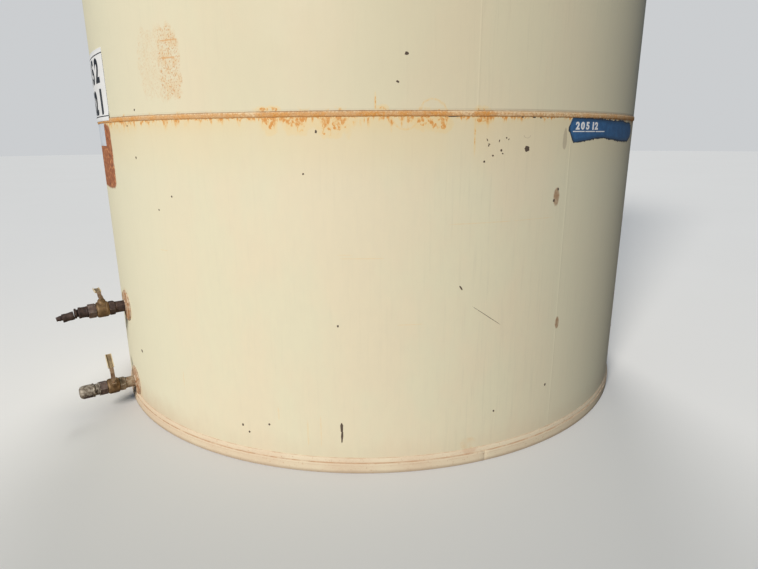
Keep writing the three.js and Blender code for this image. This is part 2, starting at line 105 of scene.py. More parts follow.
def deck_top(radius):
    """Height of the deck's upper face at a distance from the axis."""
    return SHELL_TOP + SEAT_GAP + DECK_THICKNESS + (DECK_RADIUS - radius) * DECK_SLOPE


print("shell top at", SHELL_TOP, "deck apex at", round(deck_top(0), 3))

# %% [markdown]
# ## Camera
# The tank was seen from 2.2 m in front of its shell at standing height, looking a little down. A
# camera in Blender looks along its own -Z with Y up, so it is first raised to look level along +Y,
# less its pitch, and then turned to the side. A small roll is added, as the view is not quite level.

# %% Camera
CAMERA_PLACE = Vector((0.0, -3.7584, 1.4613))
CAMERA_YAW, CAMERA_PITCH, CAMERA_ROLL = (math.radians(turn) for turn in (0.99, 15.09, 0.38))


def place_object(name, data):
    """A new object in the scene that holds the data."""
    made = bpy.data.objects.new(name, data)
    bpy.context.scene.collection.objects.link(made)
    return made


lens = bpy.data.cameras.new("front_camera")
lens.lens = 25.86
lens.sensor_width = 36.0
lens.clip_start = 0.05
lens.clip_end = 200.0
camera = place_object("front_camera", lens)
level = Matrix.Rotation(-CAMERA_YAW, 4, "Z") @ Matrix.Rotation(math.pi / 2 - CAMERA_PITCH, 4, "X")
camera.matrix_world = Matrix.Translation(CAMERA_PLACE) @ level @ Matrix.Rotation(-CAMERA_ROLL, 4, "Z")
bpy.context.scene.camera = camera
print("camera at", tuple(camera.location))

# %% [markdown]
# ## Helpers for node trees
# Geometry trees and shader trees are wired in the same way. A Wire is a node's output that can be
# reckoned with: a + b adds a Math node, so each tree below reads like a short sum. The helpers
# always add to the tree that was opened last. A Python name such as half_width stands for the
# socket that is labelled Half Width.

# %% Wires
open_tree = None


class Wire:
    """A node's output that can be reckoned with; each sign adds a Math node to the open tree."""

    def __init__(self, socket):
        self.socket = socket

    def __neg__(self):
        return calc("MULTIPLY", self, -1.0)

    def __abs__(self):
        return calc("ABSOLUTE", self)


# Python asks a wire for __add__ when it meets a + b, and for __radd__ when only b is a wire
SIGNS = {"add": "ADD", "sub": "SUBTRACT", "mul": "MULTIPLY", "truediv": "DIVIDE", "mod": "MODULO",
         "pow": "POWER", "gt": "GREATER_THAN", "lt": "LESS_THAN"}
for sign, word in SIGNS.items():
    setattr(Wire, f"__{sign}__", lambda self, other, word=word: calc(word, self, other))
    setattr(Wire, f"__r{sign}__", lambda self, other, word=word: calc(word, other, self))

# %% Nodes


def fill_inputs(node, values):
    """Fills a node's inputs by number or label, with plain values or with wires."""
    for key, value in values.items():
        if isinstance(value, Wire):
            open_tree.links.new(value.socket, node.inputs[key])
        else:
            node.inputs[key].default_value = value


def add_node(kind, values=None, **settings):
    """A new node in the open tree, with its settings and then its inputs."""
    node = open_tree.nodes.new(kind)
    for key, value in settings.items():
        setattr(node, key, value)
    fill_inputs(node, values or {})
    return node


def wire(kind, values=None, out=0, **settings):
    """The wire from one output of a new node."""
    return Wire(add_node(kind, values, **settings).outputs[out])


def calc(operation, *values):
    return wire("ShaderNodeMath", dict(enumerate(values)), operation=operation)


def highest(first, second):
    return calc("MAXIMUM", first, second)


def blend(share, first, second):
    """The first number where the share is 0, and the second where it is 1."""
    return wire("ShaderNodeMix", {0: share, 2: first, 3: second})


def parts_of(vector):
    return [Wire(socket) for socket in add_node("ShaderNodeSeparateXYZ", {0: vector}).outputs]


def vector_of(x, y, z):
    return wire("ShaderNodeCombineXYZ", {0: x, 1: y, 2: z})


def ease(value, low, high, start=0.0, end=1.0):
    """A smooth step of the value from start at low to end at high."""
    fill = {"Value": value, "From Min": low, "From Max": high, "To Min": start, "To Max": end}
    return wire("ShaderNodeMapRange", fill, interpolation_type="SMOOTHSTEP")


# %% Trees
SOCKET_KINDS = {bool: "Bool", int: "Int", float: "Float", tuple: "Vector",
                "VALUE": "Float", "RGBA": "Color", "GEOMETRY": "Geometry"}


def label(word):
    """The label of the socket that a Python name stands for."""
    return word.replace("_", " ").title()


def by_name(sockets):
    """Wires from a node's outputs, each under the Python name of its label."""
    return SimpleNamespace(**{socket.name.lower().replace(" ", "_"): Wire(socket)
                              for socket in sockets if socket.name})


def start_tree(kind, name, **inputs):
    """Opens a new tree. An input is given by its usual value, or by its kind if it has none."""
    global open_tree
    open_tree = bpy.data.node_groups.new(name, kind)
    for word, value in inputs.items():
        kind = value if isinstance(value, str) else SOCKET_KINDS[type(value)]
        socket = open_tree.interface.new_socket(label(word), in_out="INPUT", socket_type="NodeSocket" + kind)
        if kind != value:
            socket.default_value = value
    return by_name(add_node("NodeGroupInput").outputs)


def close_tree(**results):
    """Gives the open tree its outputs and hands it over."""
    for word, result in results.items():
        kind = "NodeSocket" + SOCKET_KINDS[result.socket.type]
        open_tree.interface.new_socket(label(word), in_out="OUTPUT", socket_type=kind)
    add_node("NodeGroupOutput", {label(word): result for word, result in results.items()})
    print("tree", open_tree.name, len(open_tree.nodes), "nodes")
    return open_tree


def use_group(group, **values):
    """The outputs of a group that is placed in the open tree."""
    kind = group.bl_idname.replace("Tree", "Group")
    fill = {label(word): value for word, value in values.items()}
    return by_name(add_node(kind, fill, node_tree=group).outputs)


def open_nodes(owner):
    """Opens the emptied node tree of a material or a world."""
    global open_tree
    owner.use_nodes = True
    open_tree = owner.node_tree
    open_tree.nodes.clear()
    return owner


# %% [markdown]
# A piece is made from points or by a tree, turned into a plain mesh, shaded smooth with sharp edges kept, and
# then tied to its body, and the nodes of the frame it stands for are hidden.

# %% Piece helpers


def evaluated_mesh(thing):
    """A plain mesh of an object as its modifiers or its curve's settings make it."""
    graph = bpy.context.evaluated_depsgraph_get()
    return bpy.data.meshes.new_from_object(thing.evaluated_get(graph), depsgraph=graph)


def bake_down(piece):
    """Turns a piece and its modifiers into one plain mesh."""
    mesh = evaluated_mesh(piece)
    piece.modifiers.clear()
    piece.data = mesh


def curve_mesh(curve):
    """The mesh of a text or a flat curve, made with a helper object that is then deleted."""
    holder = place_object("holder", curve)
    mesh = evaluated_mesh(holder)
    bpy.data.objects.remove(holder)
    return mesh


def run_tree(piece, tree, **values):
    """Puts a geometry tree on a piece, with its inputs set by their identifiers."""
    modifier = piece.modifiers.new(tree.name, "NODES")
    modifier.node_group = tree
    given = {label(word): value for word, value in values.items()}
    for item in tree.interface.items_tree:
        if item.in_out == "INPUT" and item.name in given:
            modifier[item.identifier] = given[item.name]


def new_piece(name, points=(), faces=(), edges=()):
    mesh = bpy.data.meshes.new(name)
    mesh.from_pydata([tuple(point) for point in points], edges, faces)
    return place_object(name, mesh)


def finish_piece(piece, slot, *stands_for, body="root", sharp=32):
    """Shades a finished piece, ties it to its body and hides the nodes it stands for; the slot is not used.
    """
    bake_down(piece)
    piece.data.shade_smooth()
    piece.data.set_sharp_from_angle(angle=math.radians(sharp))
    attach(piece, body)
    if stands_for:
        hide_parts(*stands_for)
    print(piece.name, len(piece.data.polygons), "faces")


# %% [markdown]
# ## Effects that several finishes share
# Weather acts on every finish here: rain draws fine upright streaks, rust blooms in patches, a ragged band
# rises from the ground, and sharp edges lose their paint. Each effect is a shader group with its own inputs,
# built once and placed in each material with its own values. All of them read Object coordinates, so a
# pattern stays where it is on the tank.

# %% Weather noise


def object_point():
    return parts_of(wire("ShaderNodeTexCoord", out="Object"))


given = start_tree("ShaderNodeTree", "weather_noise", size=0.1, stretch=1.0, detail=3.0, seed=0.0)
x, y, z = object_point()
fill = {"Vector": vector_of(x, y, z * given.stretch + given.seed), "Scale": 1.0 / given.size,
        "Detail": given.detail, "Roughness": 0.58}
weather_noise = close_tree(value=wire("ShaderNodeTexNoise", fill))


def weather(size, stretch=1.0, detail=3.0, seed=0.0):
    """A noise with patches of the given size in metres; a small stretch draws it into uprights."""
    return use_group(weather_noise, size=size, stretch=stretch, detail=detail, seed=seed).value


def tint(share, first, second):
    """The first colour where the share is 0, and the second where it is 1."""
    first, second = ((*tone, 1.0) if isinstance(tone, tuple) else tone for tone in (first, second))
    return wire("ShaderNodeMix", {0: share, 6: first, 7: second}, out=2, data_type="RGBA")


def ramp(value, stops):
    """A colour that runs through stops of (place, colour) as the value grows."""
    node = add_node("ShaderNodeValToRGB", {0: value})
    elements = node.color_ramp.elements
    for index, (place, tone) in enumerate(stops):
        element = elements[index] if index < 2 else elements.new(place)
        element.position, element.color = place, (*tone, 1.0)
    return Wire(node.outputs[0])


# %% [markdown]
# Rust grows in patches from a noise, dark where it is old and orange where it is fresh.

# %% Rust film
RUST_DARK = (0.07, 0.026, 0.012)
RUST_BROWN = (0.23, 0.085, 0.03)
RUST_ORANGE = (0.56, 0.24, 0.06)
RUST_PALE = (0.7, 0.43, 0.17)

given = start_tree("ShaderNodeTree", "rust_film", amount=0.5, size=0.02, age=0.5)
edge = given.amount * -0.62 + 0.82
mask = ease(weather(given.size, detail=6.0), edge - 0.07, edge + 0.07)
grit = weather(given.size * 0.4, detail=5.0, seed=3.1)
shades = ramp(grit - (given.age * 0.5 - 0.25),
              ((0.22, RUST_DARK), (0.42, RUST_BROWN), (0.6, RUST_ORANGE), (0.78, RUST_PALE)))
rust_film = close_tree(mask=mask, color=shades, height=mask * grit)


def rust(amount, size=0.02, age=0.5):
    """Rust patches: their mask, colour and height."""
    return use_group(rust_film, amount=amount, size=size, age=age)


# %% Place on the shell, a ragged band at the ground and worn edges
start_tree("ShaderNodeTree", "shell_place")
x, y, z = object_point()
shell_place = close_tree(arc=calc("ARCTAN2", x, -y) * TANK_RADIUS, height=z, side=x)

given = start_tree("ShaderNodeTree", "ground_splash", reach=0.2)
drops = weather(0.06, 0.5, 5.0) * 0.9 + 0.55
ground_splash = close_tree(mask=ease(object_point()[2] / (given.reach * drops), 1.0, 0.0))

given = start_tree("ShaderNodeTree", "edge_wear", reach=0.5)
bend = wire("ShaderNodeNewGeometry", out="Pointiness") + (weather(0.006) * 0.08 - 0.04)
start = given.reach * -0.06 + 0.56
edge_wear = close_tree(worn=ease(bend, start, start + 0.06), sheltered=ease(bend, 0.47, 0.4))

# %% [markdown]
# A stain is a soft blot about a place on the shell. Its outline can be round or square, whole or
# half a ring, and a noise tears it.

# %% Stain marks
given = start_tree("ShaderNodeTree", "stain_mark", arc=0.0, height=0.0, half_width=0.1, half_height=0.1,
                   ragged=0.5, corner=2.4, ring=0.0)
place = use_group(shell_place)
across = (place.arc - given.arc) / given.half_width
along = (place.height - given.height) / given.half_height
squares = abs(across) ** given.corner + abs(along) ** given.corner
far = squares + (weather(0.03, 0.7, 5.0) - 0.5) * given.ragged * 3.0
ringed = ease(abs(far - 1.0), 0.3, 0.03) * ease(along * given.ring, -0.12, 0.12)
is_ring = calc("MINIMUM", abs(given.ring), 1.0)
stain_mark = close_tree(mask=blend(is_ring, ease(far, 1.1, 0.55), ringed))


def stain(arc, height, half_width, half_height, ragged=0.5, corner=2.4, ring=0.0):
    """The mask of a stain; a ring of 1 or -1 keeps only the upper or lower half of its outline."""
    return use_group(stain_mark, arc=arc, height=height, half_width=half_width, half_height=half_height,
                     ragged=ragged, corner=corner, ring=ring).mask


def all_stains(marks, strength=1.0):
    """The masks of several stains together."""
    together = 0.0
    for mark in marks:
        together = highest(together, stain(*mark))
    return together * strength


# %% [markdown]
# ## Rust along the girth welds
# Water lies on the weld band between two courses, so rust starts there and runs down the paint
# below it. On this tank it is heavy at the left and in the middle and light at the right. A colour
# ramp along the arc holds that amount for the lower weld, and a slow noise holds it elsewhere, so
# the weld and the paint below it always agree on where the rust is.

# %% Amount of rust on the girth welds
FRONT_REACH = 1.7
FRONT_FADE = 0.6
FRONT_TOP = 2.2
RUST_ALONG_FRONT = (
    (-1.7, 0.85), (-1.41, 1.0), (-1.16, 0.92), (-1.1, 0.72), (-0.9, 0.8), (-0.52, 0.74), (-0.45, 0.58),
    (-0.4, 0.95), (0.02, 1.0), (0.28, 1.0), (0.33, 0.55), (0.41, 0.5), (0.43, 0.95), (0.48, 0.9),
    (0.52, 0.58), (0.8, 0.55), (1.0, 0.62), (1.7, 0.75),
)
BAND_HEIGHT = 0.022

start_tree("ShaderNodeTree", "girth_rust")
place = use_group(shell_place)
front = ramp(place.arc * (0.5 / FRONT_REACH) + 0.5,
             [(0.5 + 0.5 * arc / FRONT_REACH, (amount,) * 3) for arc, amount in RUST_ALONG_FRONT])
elsewhere = ease(weather(0.5, 0.2, 3.0, 5.0), 0.35, 0.65, 0.25, 0.95)
seen = ease(abs(place.arc), FRONT_REACH + FRONT_FADE, FRONT_REACH) * (place.height < FRONT_TOP)
from_foot = place.height - (BOTTOM_THICKNESS - COURSE_HEIGHT / 2)
offset = from_foot % COURSE_HEIGHT - COURSE_HEIGHT / 2
between = (from_foot > COURSE_HEIGHT) * (from_foot < COURSE_HEIGHT * len(COURSES))
amount = blend(seen, elsewhere, front) * between

# %% [markdown]
# Runs hang below the band in fine uprights of different lengths, and a few wisps stand above it.

# %% Runs below the girth welds and wisps above them
drop = -offset - BAND_HEIGHT / 2
rise = offset - BAND_HEIGHT / 2
length = ease(weather(0.02, 0.05, 3.0, 1.7), 0.4, 0.74, 0.006, 0.075)
runs = ease(drop / (length * amount + 0.001), 1.15, 0.0)
runs = runs * ease(weather(0.012, 0.5, 4.0, 9.2), 0.3, 0.62, 0.25, 1.0)
blots = ease(weather(0.034, 0.8, 5.0, 12.0), 0.5, 0.7) * ease(drop, 0.075, 0.01) * ease(amount, 0.62, 0.95)
wisps = ease(weather(0.03, 0.6, 4.0, 15.0), 0.54, 0.68) * ease(rise, 0.024, 0.0) * ease(amount, 0.5, 0.95)
below = highest(runs, blots * 0.75) * (drop > 0.0)
above = wisps * (rise > 0.0) * 0.7
girth_rust = close_tree(amount=amount, offset=offset, runs=highest(below, above) * between)

# %% [markdown]
# ## Finishes
# A finish is a base colour with layers over it, each held by a mask, and the same masks then drive
# roughness and a small bump, because rust is rougher than paint and stands proud of it. One helper
# closes every material with a Principled shader.

# %% Closing a material


def close_material(material, colour, roughness, height, depth=0.0006, metallic=0.0, specular=0.5):
    """Wires the shader: colour, roughness and metallic, and a bump of the given depth in metres."""
    bump = wire("ShaderNodeBump", {"Strength": 1.0, "Distance": depth, "Height": height})
    shader = wire("ShaderNodeBsdfPrincipled", {
        "Base Color": colour, "Roughness": roughness, "Metallic": metallic, "Specular IOR Level": specular,
        "Normal": bump})
    add_node("ShaderNodeOutputMaterial", {"Surface": shader})
    print("finish", material.name, len(open_tree.nodes), "nodes")
    return material


# %% [markdown]
# The shell's paint is an old cream enamel. It is mottled in soft patches, greener where it is thin and warmer
# where dust lies, with a cool painted shade towards both sides and a darker tone higher up, and with faint
# upright rain streaks. All painted plate and the weld bands start from these layers.

# %% Cream layers
CREAM_WARM = (0.787, 0.7, 0.508)
CREAM_GREEN = (0.765, 0.715, 0.52)
CREAM_COOL_SHADE = (0.776, 0.742, 0.556)
CREAM_DULL = (0.65, 0.6, 0.46)
CREAM_DARKER_HIGH = (0.655, 0.58, 0.4)
STREAK_GREY = (0.48, 0.45, 0.35)


def cream_layers():
    """The cream paint's colour and streaks before any rust, and the place on the shell."""
    place = use_group(shell_place)
    cream = tint(ease(weather(0.3, 0.55, 4.0), 0.36, 0.64), CREAM_WARM, CREAM_GREEN)
    cream = tint(ease(weather(0.035, 0.45, 5.0, 2.3), 0.3, 0.72, 0.0, 0.12), cream, CREAM_DULL)
    # Painted shade: the cream turns cooler towards both sides.
    cream = tint(ease(abs(place.side), 0.54, 1.26, 0.0, 0.9), cream, CREAM_COOL_SHADE)
    streaks = ease(weather(0.012, 0.045, 4.0, 4.2), 0.5, 0.74)
    busy = ease(abs(place.arc - 0.58), 0.42, 0.12)
    cream = tint(streaks * (busy * 0.09 + 0.05), cream, STREAK_GREY)
    # The cream turns darker higher up, less so towards the far left and the far right.
    darker_high = ease(place.height, 1.15, 1.75, 0.0, 0.46) * ease(place.side, -0.81, -0.4, 0.25, 1.0)
    darker_high = darker_high * ease(place.side, 0.1, 0.9, 1.0, 0.5)
    return tint(darker_high, cream, CREAM_DARKER_HIGH), streaks, place


# %% [markdown]
# On the cream lie a yellow wash and rust runs below the welds, faded patches, haze round the pads, brown and
# grey stains, tan lines, a scaled patch at the left, and a tan band along the foot. A mark is listed by the
# arc and height of its middle, its half width and half height, and then how ragged it is, how square its
# corners are, and which half of a ring it is.

# %% Marks on the cream paint
LOW_TAN_TONE = (0.62, 0.45, 0.3)
WASH_YELLOW = (0.79, 0.62, 0.34)
RUN_PALE = (0.815, 0.57, 0.245)
RUN_ORANGE = (0.68, 0.305, 0.08)
MARK_GREY = (0.33, 0.27, 0.2)
STAIN_BROWN = (0.4, 0.25, 0.145)
SCALE_RED = (0.34, 0.1, 0.036)
SCALE_BRIGHT = (0.68, 0.31, 0.13)
SCALE_DARK = (0.15, 0.046, 0.022)
HAZE_ORANGE = (0.74, 0.53, 0.29)
SPECKLE_ORANGE = (0.62, 0.315, 0.12)
SCALED_PATCH = (-1.695, 1.379, 0.268, 0.16, 0.28, 9.0)
FADED_PATCH = (-0.842, 1.757, 0.066, 0.142, 0.8, 4.0)
FADED_FRINGES = ((-0.915, 1.765, 0.125, 0.14, 1.4, 4.0), (-0.87, 1.69, 0.08, 0.07, 1.2))
PATCH_LINES = ((-0.845, 1.779, 0.041, 0.0032, 0.1, 4.0), (-0.835, 1.844, 0.05, 0.0026, 0.1, 4.0))
PAD_HALOS = ((OUTLET_ARC, 0.588, 0.104, 0.108, 0.5), (OUTLET_ARC, 0.12, 0.12, 0.115, 0.5),
             (0.45, 0.1, 0.042, 0.034, 0.5))
BROWN_STAINS = ((0.861, 1.207, 0.021, 0.04, 0.5, 1.8), (0.934, 0.612, 0.013, 0.03, 0.6))
GREY_STAINS = ((0.888, 1.45, 0.013, 0.045, 0.6), (0.67, 1.467, 0.017, 0.011, 0.2, 2.0, -1.0))
RUST_ARCS = ((0.142, 1.537, 0.05, 0.046, 0.12, 2.0, -1.0), (0.25, 1.56, 0.05, 0.044, 0.4, 1.8, 1.0))
RUST_BLOTS = ((0.25, 1.522, 0.055, 0.03, 2.0), (-0.387, 1.518, 0.024, 0.028, 1.6),
              (-0.27, 1.52, 0.045, 0.03, 2.2), (-0.13, 1.512, 0.05, 0.036, 2.4),
              (-0.39, 1.568, 0.04, 0.01, 1.6), (0.455, 1.56, 0.028, 0.014, 1.2),
              (0.458, 1.535, 0.03, 0.016, 1.6), (0.028, 1.59, 0.0028, 0.026, 0.2),
              (0.425, 1.485, 0.003, 0.058, 0.2), (0.056, 1.568, 0.018, 0.012, 1.2))
HALO_GROWTH, HALO_RAGGED = 1.6, 0.9
HALOS = [(*mark[:2], mark[2] * HALO_GROWTH, mark[3] * HALO_GROWTH, HALO_RAGGED) for mark in RUST_BLOTS]
TAN_LINES = ((0.47, 1.119, 0.15, 0.0024, 0.1, 4.0), (0.74, 1.119, 0.12, 0.0018, 0.1, 4.0),
             (-0.032, 0.988, 0.095, 0.0026, 0.1, 4.0), (-0.1, 1.003, 0.034, 0.0018, 0.1, 4.0),
             (-1.005, 0.971, 0.032, 0.0022, 0.1, 4.0), (0.17, 0.7, 0.06, 0.0024, 0.1, 4.0),
             (-0.96, 0.345, 0.004, 0.042, 0.1), (-0.42, 0.27, 0.0045, 0.034, 0.1),
             (-0.285, 0.19, 0.005, 0.07, 0.1), (-0.225, 0.2, 0.0035, 0.085, 0.1))
print(len(RUST_BLOTS), "rust blots and", len(TAN_LINES), "tan lines")

# %% Cream paint
material = open_nodes(bpy.data.materials.new("cream_paint"))
colour, streaks, place = cream_layers()
girth = use_group(girth_rust)
near = ease(girth.offset, -0.095, -0.008, 0.0, 0.5) + ease(girth.offset, -0.3, -0.04, 0.0, 0.5)
wash = near * girth.amount * (girth.offset < 0.0)
colour = tint(wash * 0.62, colour, WASH_YELLOW)
# The cream turns tan towards the foot, more towards the left.
low_tan_mask = use_group(ground_splash, reach=0.22).mask
colour = tint(low_tan_mask * ease(place.side, -0.72, -1.2, 0.28, 0.75), colour, LOW_TAN_TONE)

# The runs, blots and lines of rust share one mask, and paler halos lie round the blots
blots = all_stains(RUST_BLOTS) * ease(weather(0.016, 0.8, 4.0, 7.0), 0.36, 0.6, 0.1, 1.0)
marks = highest(highest(blots * 0.85, all_stains(TAN_LINES, 0.3)), all_stains(RUST_ARCS, 0.45))
worked = ease(weather(0.011, 0.7, 5.0, 11.0), 0.3, 0.64, 0.58, 1.15)
runs = calc("MINIMUM", highest(girth.runs, marks) * worked, 1.0)
colour = tint(all_stains(HALOS, 0.58), colour, WASH_YELLOW)
orange = tint(ease(runs, 0.3, 0.95), RUN_PALE, RUN_ORANGE)
colour = tint(ease(runs, 0.0, 0.9), colour, orange)

# A dark grey line lies just above the weld, mostly at the right
line_above_weld = ease(abs(girth.offset - 0.0145), 0.006, 0.001) * ease(girth.amount, 0.0, 0.1)
colour = tint(line_above_weld * ease(place.side, 0.25, 0.72, 0.12, 0.42), colour, MARK_GREY)

faded = highest(all_stains(FADED_FRINGES, 0.34), stain(*FADED_PATCH))
cloudy = ease(weather(0.03, 0.8, 4.0, 3.3), 0.35, 0.65)
haze = highest(faded, all_stains(PAD_HALOS, 0.8)) * cloudy
colour = tint(haze * 0.5, colour, HAZE_ORANGE)
speckles = ease(weather(0.0056, 0.75, 3.0, 6.4), 0.52, 0.62) * faded * 0.75
colour = tint(speckles, colour, SPECKLE_ORANGE)
colour = tint(all_stains(PATCH_LINES, 0.55), colour, RUN_ORANGE)
colour = tint(all_stains(GREY_STAINS, 0.45), colour, MARK_GREY)
mottle = ease(weather(0.015, 0.8, 4.0, 1.3), 0.35, 0.62, 0.68, 0.95)
colour = tint(all_stains(BROWN_STAINS) * mottle, colour, STAIN_BROWN)

scaled = stain(*SCALED_PATCH)
grains = weather(0.016, 0.8, 5.0, 0.6)
scale_tone = tint(ease(grains, 0.54, 0.66), SCALE_RED, SCALE_BRIGHT)
scale_tone = tint(ease(grains, 0.46, 0.36), scale_tone, SCALE_DARK)
colour = tint(scaled * 0.95, colour, scale_tone)

rusted = highest(runs * 0.6, highest(scaled, speckles))
roughness = rusted * 0.28 + ease(weather(0.09, 1.0, 4.0, 6.0), 0.3, 0.7, 0.5, 0.58)
peel = (weather(0.01, 1.0, 2.0, 8.0) + streaks) * 0.25
height = speckles * 0.6 + (grains * scaled * 2.0 + peel)
CREAM_PAINT = close_material(material, colour, roughness, height, 0.0005, specular=0.35)

# %% [markdown]
# The foot ring and its bead take the splash from the ground. Their cream has gone pinkish tan in
# long level bands, with darker soil in the corner and rust at the ring's joint.

# %% Stained foot paint
FOOT_CREAM, FOOT_TAN, FOOT_PALE = (0.75, 0.64, 0.465), (0.7, 0.555, 0.395), (0.78, 0.695, 0.51)
FOOT_LINE, FOOT_SOIL, FOOT_JOINT = (0.52, 0.3, 0.165), (0.3, 0.2, 0.13), (0.6, 0.4, 0.26)
# Each line: height, reach and strength
FOOT_LINES = ((0.0505, 0.0045, 0.75), (0.0735, 0.004, 0.6), (0.038, 0.003, 0.3))
JOINT_STAIN = (0.455, 0.08, 0.046, 0.034, 0.3, 1.6)

material = open_nodes(bpy.data.materials.new("stained_foot_paint"))
bands = weather(0.011, 3.0, 3.0, 1.1)
long_bands = ease(weather(0.4, 1.0, 3.0, 7.1), 0.38, 0.62)
colour = tint(long_bands, FOOT_CREAM, FOOT_TAN)
colour = tint(ease(bands, 0.42, 0.7, 0.0, 0.35), colour, FOOT_PALE)
place = use_group(shell_place)
broken = ease(weather(0.06, 5.0, 4.0, 3.9), 0.36, 0.6, 0.15, 1.0)
for level, reach, strength in FOOT_LINES:
    line = ease(abs(place.height - level), reach, 0.0005) * strength
    colour = tint(line * broken, colour, FOOT_LINE)
colour = tint(use_group(ground_splash, reach=0.02).mask * 0.5, colour, FOOT_SOIL)
colour = tint(stain(*JOINT_STAIN) * 0.5, colour, FOOT_JOINT)
film = rust(0.26, 0.01, 0.45)
colour = tint(film.mask * 0.55, colour, film.color)
height = film.height + weather(0.004, 1.0, 3.0)
FOOT_PAINT = close_material(material, colour, bands * 0.2 + 0.62, height, 0.0006, specular=0.3)

# %% [markdown]
# The weld bands have a paler upper rim, a painted highlight where more cream shows, an orange face with light
# beads, a dark line along the upper edge, and along the lower edge a darker orange line of rust and painted
# shade under the bead. The offset from the weld's middle, which the girth group gives, picks the layer.

# %% Rusty weld band
BAND_ORANGE = (0.85, 0.39, 0.085)
BAND_BEAD = (0.86, 0.69, 0.43)
BAND_TOP_LINE = (0.27, 0.15, 0.08)
BAND_RUST_AND_SHADE_BELOW = (0.64, 0.27, 0.07)

material = open_nodes(bpy.data.materials.new("rusty_weld_band"))
colour, streaks, place = cream_layers()
girth = use_group(girth_rust)
waved = weather(0.02, 1.0) * 0.006 + (girth.offset - 0.003)
# Painted highlight: the upper rim carries less orange, so it stays paler.
rim = ease(waved, 0.002, 0.0065)
face = ease(girth.amount, 0.35, 0.95, 0.4, 1.0) * (rim * -0.35 + 1.0)
uneven = ease(weather(0.045, 0.6, 4.0, 7.7), 0.32, 0.66, 0.5, 1.0)
colour = tint(face * uneven, colour, BAND_ORANGE)
beads = ease(weather(0.0085, 1.0, 3.0, 2.2), 0.5, 0.62) * 0.58
colour = tint(beads, colour, BAND_BEAD)
film = rust(face * 0.85, 0.009, 0.3)
colour = tint(film.mask * 0.5, colour, film.color)
top_line = ease(girth.offset, 0.006, 0.0096) * (girth.amount * 0.4 + 0.45)
colour = tint(top_line, colour, BAND_TOP_LINE)
# Rust and painted shade: a darker orange line runs along the lower edge, under the bead.
broken = ease(weather(0.07, 0.6, 4.0, 5.7), 0.36, 0.62, 0.25, 1.0)
rust_and_shade_below = broken * (girth.amount * 0.45 + 0.1) * ease(place.side, -0.59, -0.38, 0.4, 1.0)
colour = tint(ease(waved, -0.006, -0.0098) * rust_and_shade_below, colour, BAND_RUST_AND_SHADE_BELOW)
height = film.height + weather(0.005, 1.0, 3.0)
WELD_BAND = close_material(material, colour, film.mask * 0.25 + 0.6, height, 0.001, specular=0.3)

# %% [markdown]
# Fittings share one recipe with different values: a metal or paint base, mottled in two tones, worn on its
# edges, darker in its hollows, and rusted in patches.

# %% Fittings' finishes
HOLLOW_DARK = (0.045, 0.03, 0.022)


def fitting_finish(name, light, dark, worn, rust_share, metallic, rough, grain=0.008, age=0.5, wear=0.5):
    """A weathered fitting: two mottled tones, worn edges, darker hollows and rust in patches."""
    light, dark, worn = (tuple(value / 1000 for value in tone) for tone in (light, dark, worn))
    material = open_nodes(bpy.data.materials.new(name))
    colour = tint(ease(weather(grain * 2.5, 1.0, 5.0), 0.35, 0.65), dark, light)
    edges = use_group(edge_wear, reach=wear)
    colour = tint(edges.worn * 0.75, colour, worn)
    film = rust(rust_share, grain * 1.4, age)
    colour = tint(film.mask * 0.85, colour, film.color)
    # Darker in the hollows, where the surface bends inwards.
    colour = tint(edges.sheltered * 0.7, colour, HOLLOW_DARK)
    roughness = film.mask * 0.3 + (edges.worn * -0.12 + rough)
    height = film.height + weather(grain * 0.4, 1.0, 4.0)
    return close_material(material, colour, roughness, height, 0.0007, (1.0 - film.mask) * metallic)


